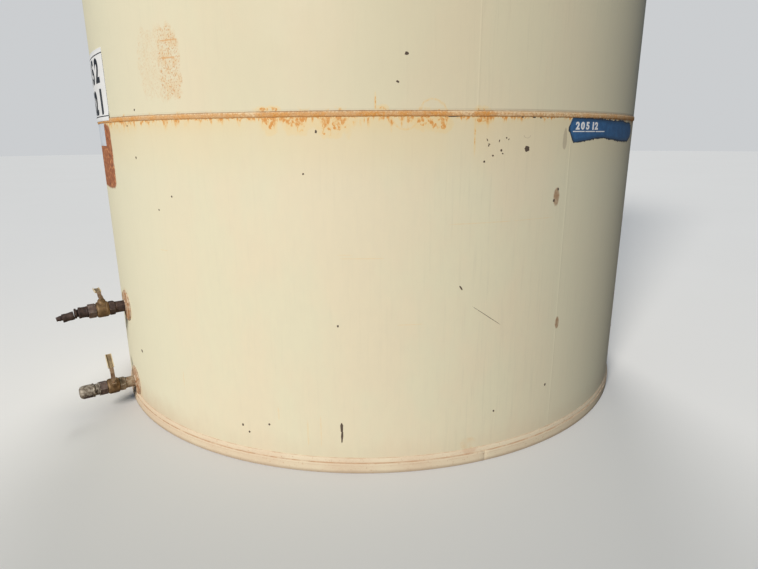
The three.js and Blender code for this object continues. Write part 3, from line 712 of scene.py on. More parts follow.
# Each row: light, dark and worn tone in thousandths, then rust, metal, roughness, grain, age and wear
FITTINGS = (
    ("rusty_pad_paint", (600, 450, 300), (380, 220, 125), (680, 560, 400), 0.48, 0.0, 0.66, 0.016, 0.55),
    ("rusty_fillet_weld", (560, 430, 300), (330, 210, 130), (660, 560, 420), 0.38, 0.0, 0.74, 0.009, 0.6),
    ("dirty_painted_pipe", (400, 310, 205), (240, 165, 100), (500, 410, 290), 0.36, 0.0, 0.66, 0.01, 0.75),
    ("weathered_brass", (265, 165, 76), (148, 88, 40), (370, 262, 140), 0.26, 0.4, 0.58, 0.009, 0.8),
    ("worn_grey_hex", (390, 310, 215), (210, 150, 98), (560, 490, 370), 0.36, 0.25, 0.62, 0.008, 0.8),
    ("mauve_grey_hex", (185, 132, 112), (95, 63, 52), (300, 240, 210), 0.3, 0.3, 0.6, 0.008, 0.75),
    ("rusty_strip_steel", (230, 135, 75), (120, 66, 38), (380, 270, 170), 0.36, 0.25, 0.68, 0.008, 0.75),
    ("faded_tan_vinyl", (600, 450, 250), (420, 300, 160), (850, 740, 520), 0.16, 0.0, 0.55, 0.014, 0.7, 0.8),
    ("dark_rusty_fitting", (88, 56, 46), (40, 25, 21), (180, 125, 100), 0.28, 0.3, 0.62, 0.009, 1.0),
    ("dull_cast_aluminium", (450, 395, 320), (135, 100, 72), (570, 510, 430), 0.14, 0.35, 0.62, 0.006, 0.85),
    ("zinc_bolt_steel", (420, 400, 370), (260, 230, 200), (540, 520, 490), 0.38, 0.6, 0.5, 0.006, 0.5),
    ("aged_gasket_rubber", (50, 48, 46), (28, 27, 26), (90, 85, 80), 0.05, 0.0, 0.8, 0.006, 0.5),
    ("bare_chip_brown", (85, 58, 40), (34, 22, 16), (120, 85, 60), 0.22, 0.0, 0.85, 0.004, 1.0),
    ("chalky_sign_white", (940, 940, 935), (900, 900, 890), (950, 950, 945), 0.03, 0.0, 0.42, 0.03, 0.3),
    ("faded_sign_black", (35, 35, 36), (18, 18, 19), (80, 80, 80), 0.03, 0.0, 0.45, 0.02, 0.4),
    ("pale_label_blue", (740, 790, 850), (640, 700, 790), (820, 840, 870), 0.12, 0.0, 0.42, 0.02, 0.3),
    ("worn_strip_blue", (52, 160, 350), (36, 115, 265), (30, 80, 170), 0.1, 0.0, 0.45, 0.012, 0.3, 0.8),
    ("torn_edge_navy", (24, 38, 66), (10, 15, 28), (50, 70, 100), 0.1, 0.0, 0.6, 0.008, 0.6),
)
(RUSTY_PAD, FITTING_WELD, PAINTED_PIPE, VALVE_BRASS, WORN_HEX, MAUVE_HEX, RUSTY_STEEL, TAN_VINYL,
 DARK_FITTING, CAST_ALUMINIUM, BOLT_STEEL, GASKET_RUBBER, CHIP_BROWN, SIGN_WHITE, SIGN_BLACK, LABEL_BLUE,
 STRIP_BLUE, STRIP_NAVY) = [fitting_finish(*row) for row in FITTINGS]

# %% [markdown]
# ## Rolling plate
# A real shell plate is cut flat, sent through the rolls and stood on the tank. The pieces on the
# shell are made in the same way: flat, with the arc along X, the depth along Y and the height
# along Z, and then one geometry group rolls them round the tank. The group also adds the slight
# waves that thin plate keeps, so a weld or a sign always lies on the wave below it.

# %% Geometry tree helpers and the rolls
WHOLE_BLOCK = (1.0, 1.0, 1.0)


def position():
    return wire("GeometryNodeInputPosition")


def noise(scale, detail=2.0, point=None, out=0):
    """A noise of the given scale, at the points' own place unless another is given."""
    fill = {"Vector": point or position(), "Scale": scale, "Detail": detail}
    return wire("ShaderNodeTexNoise", fill, out)


def length_of(vector):
    return wire("ShaderNodeVectorMath", {0: vector}, "Value", operation="LENGTH")


def resized(vector, scale):
    return wire("ShaderNodeVectorMath", {0: vector, "Scale": scale}, operation="SCALE")


def move_to(geometry, place):
    return wire("GeometryNodeSetPosition", {"Geometry": geometry, "Position": place})


def push_by(geometry, offset):
    return wire("GeometryNodeSetPosition", {"Geometry": geometry, "Offset": offset})


def carry(geometry, translation):
    return wire("GeometryNodeTransform", {"Geometry": geometry, "Translation": translation})


def sweep_rope(curve, radius, corners):
    """A curve swept into a rope of the given radius, closed at its ends."""
    rope = wire("GeometryNodeCurvePrimitiveCircle", {"Resolution": corners, "Radius": radius})
    return wire("GeometryNodeCurveToMesh", {"Curve": curve, "Profile Curve": rope, "Fill Caps": True})


def start_geometry(name, **sizes):
    """Opens a geometry tree that takes a geometry, its own sizes and a material."""
    return start_tree("GeometryNodeTree", name, geometry="Geometry", **sizes, material="Material")


def close_geometry(geometry, material):
    """Realize Instances and Set Material, which every tree that runs on a piece ends in."""
    real = wire("GeometryNodeRealizeInstances", {"Geometry": geometry})
    return close_tree(geometry=wire("GeometryNodeSetMaterial", {"Geometry": real, "Material": material}))


given = start_tree("GeometryNodeTree", "roll_round_tank", geometry="Geometry", radius=TANK_RADIUS,
                   wave_height=WAVE_HEIGHT)
x, y, z = parts_of(position())
azimuth = x / given.radius
sine, cosine = calc("SINE", azimuth), calc("COSINE", azimuth)
wall = vector_of(sine * given.radius, cosine * given.radius, z)
wave = (noise(1.3, 1.0, wall) * 2.0 - 1.0) * given.wave_height
reach = given.radius - y + wave
roll_round_tank = close_tree(geometry=move_to(given.geometry, vector_of(reach * sine, -(reach * cosine), z)))

# %% [markdown]
# One tree makes every bar of the shell: the plates, the foot ring, its bead, and the welds along
# and up the shell. A box with many points is sized, crowned and rippled while flat, then rolled.
# A taper thins it towards its top, a crown rounds its face as a weld does, and ripples are the
# scales that the welder's hand leaves.

# %% Rolled bar tree
given = start_geometry(
    "rolled_bar", arc_start=0.0, arc_length=1.0, base=0.0, height=1.0, back=0.0, thickness=0.005,
    taper=0.0, crown=0.0, ripple=0.0, ripple_spacing=0.008, wobble=0.0, upright=0.0, whole_ring=False,
    columns=121, rows=31)
fill = {"Size": WHOLE_BLOCK, "Vertices X": given.columns, "Vertices Y": 2, "Vertices Z": given.rows}
end_face = abs(parts_of(wire("GeometryNodeInputNormal"))[0]) > 0.5
fill = {"Geometry": wire("GeometryNodeMeshCube", fill), "Selection": end_face * given.whole_ring}
block = wire("GeometryNodeDeleteGeometry", fill, domain="FACE")
x, y, z = parts_of(position())
share_up = z + 0.5
arc = (x + 0.5) * given.arc_length + given.arc_start
height = share_up * given.height + given.base
across = blend(given.upright, z, x)
run = blend(given.upright, arc, height)
crown_shape = calc("SQRT", highest(0.0, 1.0 - (abs(across) * 2.0) ** 2.0))
scales = calc("SINE", abs(across) ** 2.0 * 9.0 + run / given.ripple_spacing * math.tau) * given.ripple
thinned = given.thickness * (1.0 - given.taper * share_up)
out = (0.5 - y) * (thinned + crown_shape * (given.crown + scales)) + given.back
drift = (noise(45.0, 2.0, vector_of(run, across, 0.0)) - 0.5) * given.wobble
side_drift = drift * given.upright
flat = vector_of(arc + side_drift, -out, height + (drift - side_drift))
rolled = use_group(roll_round_tank, geometry=move_to(block, flat)).geometry
joined = wire("GeometryNodeMergeByDistance", {"Geometry": rolled, "Distance": 0.00002})
rolled_bar = close_geometry(joined, given.material)


def bar_piece(name, azimuth, length, base, height, material, bevel=0.0, **sizes):
    """A piece of the rolled bar tree that starts at an azimuth."""
    piece = new_piece(name)
    run_tree(piece, rolled_bar, arc_start=azimuth * TANK_RADIUS, arc_length=length, base=base, height=height,
             material=material, **sizes)
    if bevel:
        modifier = piece.modifiers.new("broken_edges", "BEVEL")
        modifier.width, modifier.segments, modifier.limit_method = bevel, 2, "ANGLE"
    return piece


# %% [markdown]
# ## Turned and swept bodies
# Pipes, collars, nuts and caps are round or hexagonal, so they are turned from a profile with
# rounded corners. A hexagon is turned too: its profile is clipped to the flats, which gives the
# rounded corners of a real nut. A part that holds several bodies collects them in one mesh, each
# put in its place by a matrix.

# %% Bodies


def mm(pairs):
    return [tuple(value / 1000 for value in pair) for pair in pairs]


def shift(x, y, z):
    return Matrix.Translation((x, y, z))


def ring_faces(rings, closed=False):
    """Faces between rings of point numbers, one ring after another; a ring of one is a pole."""
    faces = []
    around = max(len(ring) for ring in rings)
    for low, high in zip(rings, rings[1:] + rings[:1] if closed else rings[1:]):
        for k in range(around):
            after = (k + 1) % around
            corners = [low[k % len(low)], low[after % len(low)], high[after % len(high)], high[k % len(high)]]
            face = list(dict.fromkeys(corners))
            if len(face) > 2:
                faces.append(face)
    return faces


def turned(profile, around=48, flats=None, closed=False):
    """A profile of (radius, height) pairs turned about Z; flats cuts it to a hexagon, half across."""
    points, rings = [], []
    for radius, height in profile:
        first = len(points)
        if radius < 1e-6:
            points.append((0.0, 0.0, height))
            rings.append([first])
            continue
        for k in range(around):
            angle = math.tau * k / around
            reach = radius
            if flats:
                off_flat = (angle + math.pi / 6) % (math.pi / 3) - math.pi / 6
                reach = min(radius, flats / math.cos(off_flat))
            points.append((reach * math.cos(angle), reach * math.sin(angle), height))
        rings.append(list(range(first, first + around)))
    return points, ring_faces(rings, closed)


def rounded(profile, size, steps=3, closed=False):
    """The profile with its corners rounded by about the given size, its ends kept unless closed."""
    if closed:
        profile = [profile[-1], *profile, profile[0]]
    smooth = [profile[0]]
    for before, corner, after in zip(profile, profile[1:], profile[2:]):
        middle = Vector(corner)
        back, forth = Vector(before) - middle, Vector(after) - middle
        cut = min(size, 0.45 * back.length, 0.45 * forth.length)
        start, end = middle + back.normalized() * cut, middle + forth.normalized() * cut
        for k in range(steps + 1):
            share, rest = k / steps, 1 - k / steps
            smooth.append(tuple(rest ** 2 * start + 2 * share * rest * middle + share ** 2 * end))
    smooth.append(profile[-1])
    return smooth[1:-1] if closed else smooth


def hollow(profile, size, around):
    """A closed section with rounded corners, turned into a ring or a pipe."""
    return turned(rounded(profile, size, closed=True), around, closed=True)


def swept(sections):
    """A closed body through sections with the same number of points, capped at both ends."""
    points = [point for section in sections for point in section]
    count = len(sections[0])
    rings = [list(range(k * count, (k + 1) * count)) for k in range(len(sections))]
    return points, [*ring_faces(rings), rings[0][::-1], rings[-1]]


class Part:
    """Collects the bodies of one part: points, faces and the finish of each face."""

    def __init__(self, name, *finishes):
        self.name, self.finishes = name, finishes
        self.points, self.faces, self.finish_of = [], [], []

    def add(self, body, place=Matrix(), finish=0):
        points, faces = body
        first = len(self.points)
        self.points.extend(place @ Vector(point) for point in points)
        self.faces.extend([first + corner for corner in face] for face in faces)
        self.finish_of.extend([finish] * len(faces))

    def piece(self):
        made = new_piece(self.name, self.points, self.faces)
        for finish in self.finishes:
            made.data.materials.append(finish)
        made.data.polygons.foreach_set("material_index", self.finish_of)
        return made


def single_part(name, finish, shape, place, slot, *stands_for, **settings):
    """A finished part of one turned or swept shape in one finish."""
    part = Part(name, finish)
    part.add(shape, place)
    finish_piece(part.piece(), slot, *stands_for, **settings)


def cream_part(name, shape, node, place=Matrix()):
    single_part(name, CREAM_PAINT, shape, place, "shell_paint", node)


# %% [markdown]
# ## Shell plates
# Each course has three plates, and its seams stand a little round from those of the next. The two
# outlet pipes pass through the front plate of the lower course. The holes are cut with two plain
# cylinders and a Boolean modifier after the plate is rolled, as a burner cuts them on the real
# tank, and the cutters are deleted once the cut is made.

# %% Shell plates
WHOLE_TURN = math.tau * TANK_RADIUS
PLATE_ARC = WHOLE_TURN / PLATES
PIERCED_PLATE = "lower_rolled_plate_3"
PIPE_HOLE = mm([(0, -60), (30.6, -60), (30.6, 60), (0, 60)])


def outlet_place(height):
    """Place of an outlet: Z outwards along the pipe, Y up and X level towards the front."""
    outward = plan_point(1.0, OUTLET_AZIMUTH)
    turn = Matrix((UP.cross(outward), UP, outward)).transposed().to_4x4()
    return Matrix.Translation(plan_point(TANK_RADIUS, OUTLET_AZIMUTH, height)) @ turn


def cut_pipe_holes(plate):
    """Cuts the holes of both outlets in a rolled plate."""
    bake_down(plate)
    cutters = []
    for height in OUTLET_HEIGHTS.values():
        points, faces = turned(PIPE_HOLE)
        cutters.append(new_piece("cutter", [outlet_place(height) @ Vector(point) for point in points], faces))
        modifier = plate.modifiers.new("hole", "BOOLEAN")
        modifier.operation, modifier.solver, modifier.object = "DIFFERENCE", "EXACT", cutters[-1]
    bake_down(plate)
    for cutter in cutters:
        bpy.data.objects.remove(cutter)


def course_base(course):
    return BOTTOM_THICKNESS + course * COURSE_HEIGHT


def course_seam(course, plate):
    """Azimuth of the seam that a plate starts at; the seams stagger from course to course."""
    return LOWER_SEAM - (course % 2) * STAGGER + plate * PLATE_TURN


for course, course_name in enumerate(COURSES):
    for plate in range(PLATES):
        piece = bar_piece(
            f"{course_name}_rolled_plate_{plate + 1}", course_seam(course, plate), PLATE_ARC - SEAT_GAP,
            course_base(course) + SEAT_GAP, COURSE_HEIGHT - SEAT_GAP, CREAM_PAINT, back=-PLATE_THICKNESS,
            thickness=PLATE_THICKNESS, rows=41)
        if piece.name == PIERCED_PLATE:
            cut_pipe_holes(piece)
        finish_piece(piece, "shell_paint", f"{course_name}_shell_plate_{plate + 1}")

# %% [markdown]
# ## Foot ring, bead and shell welds
# A flat bar stands round the foot in three lengths, and a bead closes the corner above it. Each
# girth joint is covered by a weld band, and each upright seam by a narrow flush bead. They all
# come from the same rolled bar tree with other sizes.

# %% Foot and welds
RING_HEIGHT = 0.05
RING_THICKNESS = 0.009
RING_JOINT_GAP = 0.0012
BEAD_TOP = 0.073
RIM_LEG = 0.05
SEAM_WIDTH = 0.009

for plate in range(PLATES):
    bar = bar_piece(
        f"foot_bar_{plate + 1}", RING_JOINT + plate * PLATE_TURN, PLATE_ARC - RING_JOINT_GAP, 0.0,
        RING_HEIGHT, FOOT_PAINT, bevel=0.0012, back=SEAT_GAP, thickness=RING_THICKNESS, rows=4)
    finish_piece(bar, "foot_paint", f"base_ring_{plate + 1}")

bead = bar_piece(
    "corner_bead", -math.pi, WHOLE_TURN, RING_HEIGHT + SEAT_GAP, BEAD_TOP - RING_HEIGHT, FOOT_PAINT,
    thickness=0.0065, taper=0.85, crown=0.0012, ripple=0.0004, ripple_spacing=0.016,
    wobble=0.004, whole_ring=True, columns=1201, rows=7)
finish_piece(bead, "foot_paint", "foot_bead")

for index, band in enumerate(("lower", "upper"), 1):
    weld = bar_piece(
        f"{band}_weld_band", -math.pi, WHOLE_TURN, course_base(index) - BAND_HEIGHT / 2, BAND_HEIGHT,
        WELD_BAND, back=-0.001, thickness=0.0028, crown=0.0024, ripple=0.0004, ripple_spacing=0.0126,
        wobble=0.0035, whole_ring=True, columns=1601, rows=10)
    finish_piece(weld, "rusty_weld", f"{band}_girth_weld")

for course, course_name in enumerate(COURSES):
    base = course_base(course) + BAND_HEIGHT / 2 if course else BEAD_TOP
    top = course_base(course + 1) - (BAND_HEIGHT / 2 if course < 2 else RIM_LEG)
    for plate in range(PLATES):
        seam = course_seam(course, plate) - SEAM_WIDTH / 2 / TANK_RADIUS
        bead = bar_piece(
            f"{course_name}_seam_bead_{plate + 1}", seam, SEAM_WIDTH, base, top - base, CREAM_PAINT,
            back=-0.001, thickness=0.001, crown=0.0003, ripple=0.00015, wobble=0.0016, upright=1.0,
            columns=8, rows=390)
        finish_piece(bead, "shell_paint")

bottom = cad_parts["bottom_plate"]
bottom.data.materials.clear()
bottom.data.materials.append(FOOT_PAINT)

# %% [markdown]
# ## Weld pads
# Each outlet passes through a round pad, bent to the shell and welded round its edge. The pad is
# drawn flat as rings of points, from its outer edge over its face to the pipe hole, and then goes
# through the rolls. The lower pad is cut straight where it meets the bead at the foot.

# %% Rolled layer tree and pads
given = start_geometry("rolled_layer")
rolled_layer = close_geometry(use_group(roll_round_tank, geometry=given.geometry).geometry, given.material)

PAD_RINGS = mm([(80.0, 0.3), (80.0, 5.2), (79.2, 7.0), (77.0, 8.0), (68.0, 8.3), (56.0, 8.1), (44.0, 8.4),
                (34.0, 8.2), (30.6, 7.6), (30.6, 0.3)])
PAD_POINTS = 96
PAD_CUTS = {"lower": BEAD_TOP + SEAT_GAP, "upper": 0.0}


def pad_outline(radius, level):
    """A circle in the flat round an outlet, with everything below the cut drawn up to it."""
    outline = []
    for k in range(PAD_POINTS):
        angle = math.tau * k / PAD_POINTS
        lowest = PAD_CUTS[level] + (PAD_RADIUS - radius) * 0.2
        height = max(OUTLET_HEIGHTS[level] + radius * math.sin(angle), lowest)
        outline.append((OUTLET_ARC + radius * math.cos(angle), height))
    return outline


for level in OUTLET_HEIGHTS:
    points, rings = [], []
    for radius, lift in PAD_RINGS:
        rings.append(list(range(len(points), len(points) + PAD_POINTS)))
        points.extend((arc, -lift, up) for arc, up in pad_outline(radius, level))
    pad = new_piece(f"{level}_weld_pad", points, ring_faces(rings, closed=True))
    run_tree(pad, rolled_layer, material=RUSTY_PAD)
    finish_piece(pad, "rusty_pad", f"{level}_outlet_pad", sharp=40)

# %% [markdown]
# ## Fillet welds
# Where a pipe, a pad or a lug meets plate, a fillet weld runs round the corner. A tree sweeps a
# round rope of metal along a path in the corner, half of it sunk in the parts it joins, and
# ripples it along its length.

# %% Fillet weld tree
FILLET_SIZE = 0.0045
WELD_STANDOFF = 0.001
PIPE_RADIUS, PAD_FACE = 0.0302, 0.0085

given = start_geometry("fillet_weld", size=0.005, ripple=0.0006, ripple_spacing=0.006, step=0.003)
path = wire("GeometryNodeMeshToCurve", {"Mesh": given.geometry})
path = wire("GeometryNodeResampleCurve", {"Curve": path, "Length": given.step}, mode="LENGTH")
marked = add_node("GeometryNodeCaptureAttribute")
marked.capture_items.new("FLOAT", "Travel")
fill_inputs(marked, {0: path, 1: wire("GeometryNodeSplineParameter", out="Length")})
rope = sweep_rope(Wire(marked.outputs[0]), given.size, 10)
turn = Wire(marked.outputs[1]) / given.ripple_spacing * math.tau
lift = given.ripple * (calc("SINE", turn) + (noise(60.0) * 4.0 - 2.0))
beads = push_by(rope, resized(wire("GeometryNodeInputNormal"), lift))
fillet_weld = close_geometry(beads, given.material)


def weld_piece(name, paths, material, slot, ripple=0.0006, step=0.003):
    """Fillet welds along several paths; each path is its points and whether it closes."""
    points, edges = [], []
    for path, closes in paths:
        first = len(points)
        points.extend(path)
        edges.extend((first + k, first + k + 1) for k in range(len(path) - 1))
        if closes:
            edges.append((first + len(path) - 1, first))
    piece = new_piece(name, points, edges=edges)
    run_tree(piece, fillet_weld, size=FILLET_SIZE, ripple=ripple, step=step, material=material)
    finish_piece(piece, slot, sharp=60)


def circle_path(place, radius, count=64, height=0.0):
    turns = [math.tau * k / count for k in range(count)]
    return [place @ Vector((radius * math.cos(turn), radius * math.sin(turn), height)) for turn in turns]


for level, height in OUTLET_HEIGHTS.items():
    edge = [plan_point(TANK_RADIUS + WELD_STANDOFF, arc / TANK_RADIUS, max(up, PAD_CUTS[level] + 0.004))
            for arc, up in pad_outline(PAD_RADIUS + WELD_STANDOFF, level)]
    pipe_foot = circle_path(outlet_place(height), PIPE_RADIUS, 48, PAD_FACE)
    weld_piece(f"{level}_pad_welds", [(edge, True), (pipe_foot, True)], FITTING_WELD, "rusty_pad")

# %% [markdown]
# ## Outlet pipes and ball valves
# Each outlet is a short 2 inch pipe with a threaded brass ball valve on it. The body is a barrel
# between two hexagon ends, cast as one, with a bonnet and a packing nut for the stem. Exposed
# thread is a spiral ridge swept by a tree with its pitch as an input.

# %% Thread tree
given = start_geometry("screw_thread", radius=0.03, length=0.01, turns=5.0, ridge=0.001)
fill = {"Resolution": 40, "Rotations": given.turns, "Start Radius": given.radius,
        "End Radius": given.radius, "Height": given.length}
coil = wire("GeometryNodeCurveSpiral", fill)
screw_thread = close_geometry(sweep_rope(coil, given.ridge, 4), given.material)


def thread_body(radius, length, pitch):
    """The points and faces of a thread along Z, to be placed with the part it is cut on."""
    scratch = new_piece("thread_scratch")
    run_tree(scratch, screw_thread, radius=radius, length=length, turns=length / pitch, ridge=pitch * 0.42)
    bake_down(scratch)
    body = ([tuple(vertex.co) for vertex in scratch.data.vertices],
            [list(polygon.vertices) for polygon in scratch.data.polygons])
    bpy.data.objects.remove(scratch)
    return body


# %% [markdown]
# A profile lists radius and height in millimetres, with its height along the pipe or the stem.

# %% Valves
STEM_DISTANCE = 0.121
VALVE_LEANS = {"lower": math.radians(-49), "upper": 0.0}
ON_Y = Matrix.Rotation(-math.pi / 2, 4, "X")
HEX_TURN = Matrix.Rotation(math.radians(30), 4, "Z")
VALVE_FLATS, PACKING_FLATS = 0.03377, 0.0125
PIPE_THREAD, PIPE_THREAD_START = (0.0302, 0.01, 0.0022), 0.051
NOZZLE = mm([(26.2, -40), (30.15, -40), (30.15, 61.7), (26.2, 61.7)])
HEX_ENDS = (mm([(0, 62), (34.4, 62), (38.6, 64.5), (39, 66), (39, 86), (38.6, 88), (34.4, 90), (0, 90)]),
            mm([(0, 153), (34.4, 153), (38.6, 155), (39, 157), (39, 187), (38.6, 188.5), (34.4, 190),
                (0, 190)]))
BARREL = mm([(0, 63), (32, 63), (32, 90), (37.5, 93), (41.5, 99), (42, 104), (40.6, 105.2), (40.6, 107),
             (42, 108), (42, 141), (39, 148), (32, 151.5), (32, 189), (0, 189)])
BONNET = mm([(0, 28), (27, 33), (22, 40.5), (19, 45), (19, 52), (0, 52)])
PACKING_NUT = mm([(0, 51), (13.0, 51), (14.4, 52.5), (14.4, 57), (12.8, 58.4), (0, 58.4)])
HEX_FINISHES = {"lower": (WORN_HEX, MAUVE_HEX), "upper": (DARK_FITTING, MAUVE_HEX)}


def valve_place(level):
    """Place of the leaning valve on its outlet."""
    return outlet_place(OUTLET_HEIGHTS[level]) @ Matrix.Rotation(VALVE_LEANS[level], 4, "Z")


def handle_place(level):
    """Place of the handle on the valve's stem."""
    return valve_place(level) @ shift(0.0, 0.0, STEM_DISTANCE)


for level, height in OUTLET_HEIGHTS.items():
    outlet = outlet_place(height)
    nozzle = Part(f"{level}_pipe_nozzle", PAINTED_PIPE if level == "lower" else DARK_FITTING)
    nozzle.add(hollow(NOZZLE, 0.0008, 48), outlet)
    nozzle.add(thread_body(*PIPE_THREAD), outlet @ shift(0, 0, PIPE_THREAD_START))
    finish_piece(nozzle.piece(), "painted_pipe", f"{level}_nozzle")

    valve, upright = valve_place(level), handle_place(level) @ ON_Y
    body = Part(f"{level}_valve_casting", VALVE_BRASS, *HEX_FINISHES[level])
    body.add(turned(rounded(BARREL, 0.0025), 64), valve)
    for finish, profile in enumerate(HEX_ENDS, 1):
        body.add(turned(profile, 48, flats=VALVE_FLATS), valve @ HEX_TURN, finish)
    body.add(turned(rounded(BONNET, 0.003), 40), upright)
    body.add(turned(PACKING_NUT, 48, flats=PACKING_FLATS), upright)
    finish_piece(body.piece(), "valve_brass", f"{level}_valve_body")

# %% [markdown]
# ## Levers
# The lever is a flat steel strip with a step in it, held on the stem by a nut, with a vinyl grip
# pressed over its outer half. The strip is swept through rounded sections that follow the step.
# The grip is an open channel, so its two edges catch the light. All of it turns with the handle.

# %% Handles
LEVER_LINE = mm([(14.5, 64.1), (13, 64.1), (8, 64.1), (-10, 64.1), (-27, 64.1), (-32, 65.2), (-40, 71),
                 (-47, 76.8), (-53, 78.1), (-70, 78.1), (-100, 78.1), (-140, 78.1), (-154, 78.1),
                 (-157, 78.1)])
LEVER_HALF_WIDTHS = (0.006, 0.0092, 0.0112, 0.011, 0.0106, 0.0104, 0.0102, 0.0102, 0.0104, 0.0106, 0.0106,
                     0.0106, 0.0098, 0.008)
LEVER_HALF_THICKNESS = 0.0018
LEVER_EDGE = 0.0007
GRIP_STATIONS = ((-0.0775, 0.9), (-0.079, 0.97), (-0.086, 1.0), (-0.12, 1.0), (-0.148, 1.0), (-0.155, 0.98),
                 (-0.1578, 0.9))
GRIP_FLOOR = 0.0732
GRIP_CHANNEL = mm([(-15.4, 73.2), (-13.8, 72.5), (13.8, 72.5), (15.4, 73.2), (16, 74.8), (16, 84.6),
                   (15.2, 85.6), (13.0, 85.6), (12.2, 84.6), (11.4, 80.6), (-11.4, 80.6), (-12.2, 84.6),
                   (-13.0, 85.6), (-15.2, 85.6), (-16, 84.6), (-16, 74.8)])
NUT_FLATS = 0.0085
STEM_THREAD, STEM_THREAD_START = (0.005, 0.0045, 0.00125), 0.0745
STEM = mm([(0, 36), (7, 36), (7, 61), (6.4, 62), (5, 62), (5, 79.2), (4.2, 80), (0, 80)])
NUT = mm([(0, 66.2), (8.6, 66.2), (9.8, 67.2), (9.8, 73.0), (8.6, 74.1), (0, 74.1)])


def strip_section(x, y, half_width):
    """A flat section with chamfered edges, level across Z, at a place on the lever's line."""
    wide, thick = half_width, LEVER_HALF_THICKNESS
    inner, flat = wide - LEVER_EDGE, thick - LEVER_EDGE
    corners = ((-wide, -flat), (-inner, -thick), (inner, -thick), (wide, -flat),
               (wide, flat), (inner, thick), (-inner, thick), (-wide, flat))
    return [(x, y + up, across) for across, up in corners]


nut = turned(NUT, 48, flats=NUT_FLATS)
strip = swept([strip_section(x, y, half) for (x, y), half in zip(LEVER_LINE, LEVER_HALF_WIDTHS)])
sleeve = swept([[(x, GRIP_FLOOR + (up - GRIP_FLOOR) * share, across * share) for across, up in GRIP_CHANNEL]
                for x, share in GRIP_STATIONS])
for level in OUTLET_HEIGHTS:
    handle, moving = handle_place(level), f"{level}_handle"
    stem = Part(f"{level}_valve_stem", VALVE_BRASS)
    stem.add(turned(STEM, 32), handle @ ON_Y)
    stem.add(thread_body(*STEM_THREAD), handle @ ON_Y @ shift(0, 0, STEM_THREAD_START))
    finish_piece(stem.piece(), "valve_brass", f"{level}_stem", body=moving)
    for name, finish, shape, place, slot, node in (
            ("handle_nut", RUSTY_STEEL, nut, handle @ ON_Y, "rusty_steel", "stem_nut"),
            ("lever_strip", RUSTY_STEEL, strip, handle, "rusty_steel", "lever"),
            ("grip_sleeve", TAN_VINYL, sleeve, handle, "grip_vinyl", "grip")):
        single_part(f"{level}_{name}", finish, shape, place, slot, f"{level}_{node}", body=moving)

# %% [markdown]
# ## What is screwed into the valves
# The lower valve ends in a ribbed cam adapter with a cast dust cap, held by two cam arms on pins between
# ears. The upper one ends in a dark coupling, a short drooping tail and an end plug.

# %% Adapter and cap
RIB_START, RIB_END, RIBS = 195.3, 217.0, 3
RIB_PITCH = (RIB_END - RIB_START) / RIBS
CAP = mm([(0, 258.3), (27.9, 258.3), (27.9, 217.3), (38, 217.3), (38, 223.3), (36, 224.5), (36, 271),
          (33, 279), (29, 284.5), (21.6, 289), (12, 290), (0, 290)])
ARM_LINE = mm([(41.0, 231), (43.5, 236), (44.5, 245), (44.2, 258), (43.2, 270), (42.0, 277)])
ARM_PIN = mm([(0, -9.4), (2.2, -9.4), (2.2, 9.4), (0, 9.4)])
EAR_LINE = ((0.2262, 0.004), (0.23, 0.0064), (0.239, 0.0064), (0.243, 0.004))
EAR_OFFSET, EAR_REACH, EAR_HALF_WIDTH = 0.0072, 0.0375, 0.0018
ARM_AZIMUTHS = (math.radians(-20), math.radians(160))
ARM_HALF_WIDTH, ARM_TAPER, ARM_HALF_THICKNESS = 0.0048, 0.0012, 0.003
PIN_PLACE = (0.041, 0, 0.2345)

adapter_profile = [(0, 190.3), (37, 190.3), (37, RIB_START)]
for rib in range(RIBS):
    start = RIB_START + rib * RIB_PITCH
    adapter_profile += [(29.5, start + 0.3), (29.5, start + 0.35 * RIB_PITCH), (32, start + 0.42 * RIB_PITCH),
                        (32, start + 0.97 * RIB_PITCH)]
adapter_profile += [(27.5, RIB_END), (27.5, 258), (0, 258)]


def arm_section(reach, along, half_width, half_thickness):
    """A chamfered section across an arm, at a reach from the axis and a place along it."""
    corners = [(-1, -0.6), (-0.6, -1), (0.6, -1), (1, -0.6), (1, 0.6), (0.6, 1), (-0.6, 1), (-1, 0.6)]
    return [(reach + up * half_thickness, across * half_width, along) for across, up in corners]


outlet = outlet_place(OUTLET_HEIGHTS["lower"])
single_part("ribbed_cam_adapter", CAST_ALUMINIUM, turned(rounded(mm(adapter_profile), 0.0006), 64), outlet,
            "dark_pipe", "lower_cam_adapter")
cap = Part("cast_dust_cap", CAST_ALUMINIUM, DARK_FITTING)
cap.add(turned(rounded(CAP, 0.0018), 64), outlet)
ear = swept([arm_section(EAR_REACH, along, EAR_HALF_WIDTH, rise) for along, rise in EAR_LINE])
arm = swept([arm_section(*place, ARM_HALF_WIDTH - ARM_TAPER * k / 5, ARM_HALF_THICKNESS)
             for k, place in enumerate(ARM_LINE)])
for azimuth in ARM_AZIMUTHS:
    side = outlet @ Matrix.Rotation(azimuth, 4, "Z")
    for offset in (-EAR_OFFSET, EAR_OFFSET):
        cap.add(ear, side @ shift(0, offset, 0))
    cap.add(arm, side, 1)
    cap.add(turned(ARM_PIN, 12), side @ shift(*PIN_PLACE) @ ON_Y, 1)
finish_piece(cap.piece(), "cast_aluminium", "lower_dust_cap")

# %% [markdown]
# The tail hangs on its thread, so its place is the outlet's with a small turn about X.

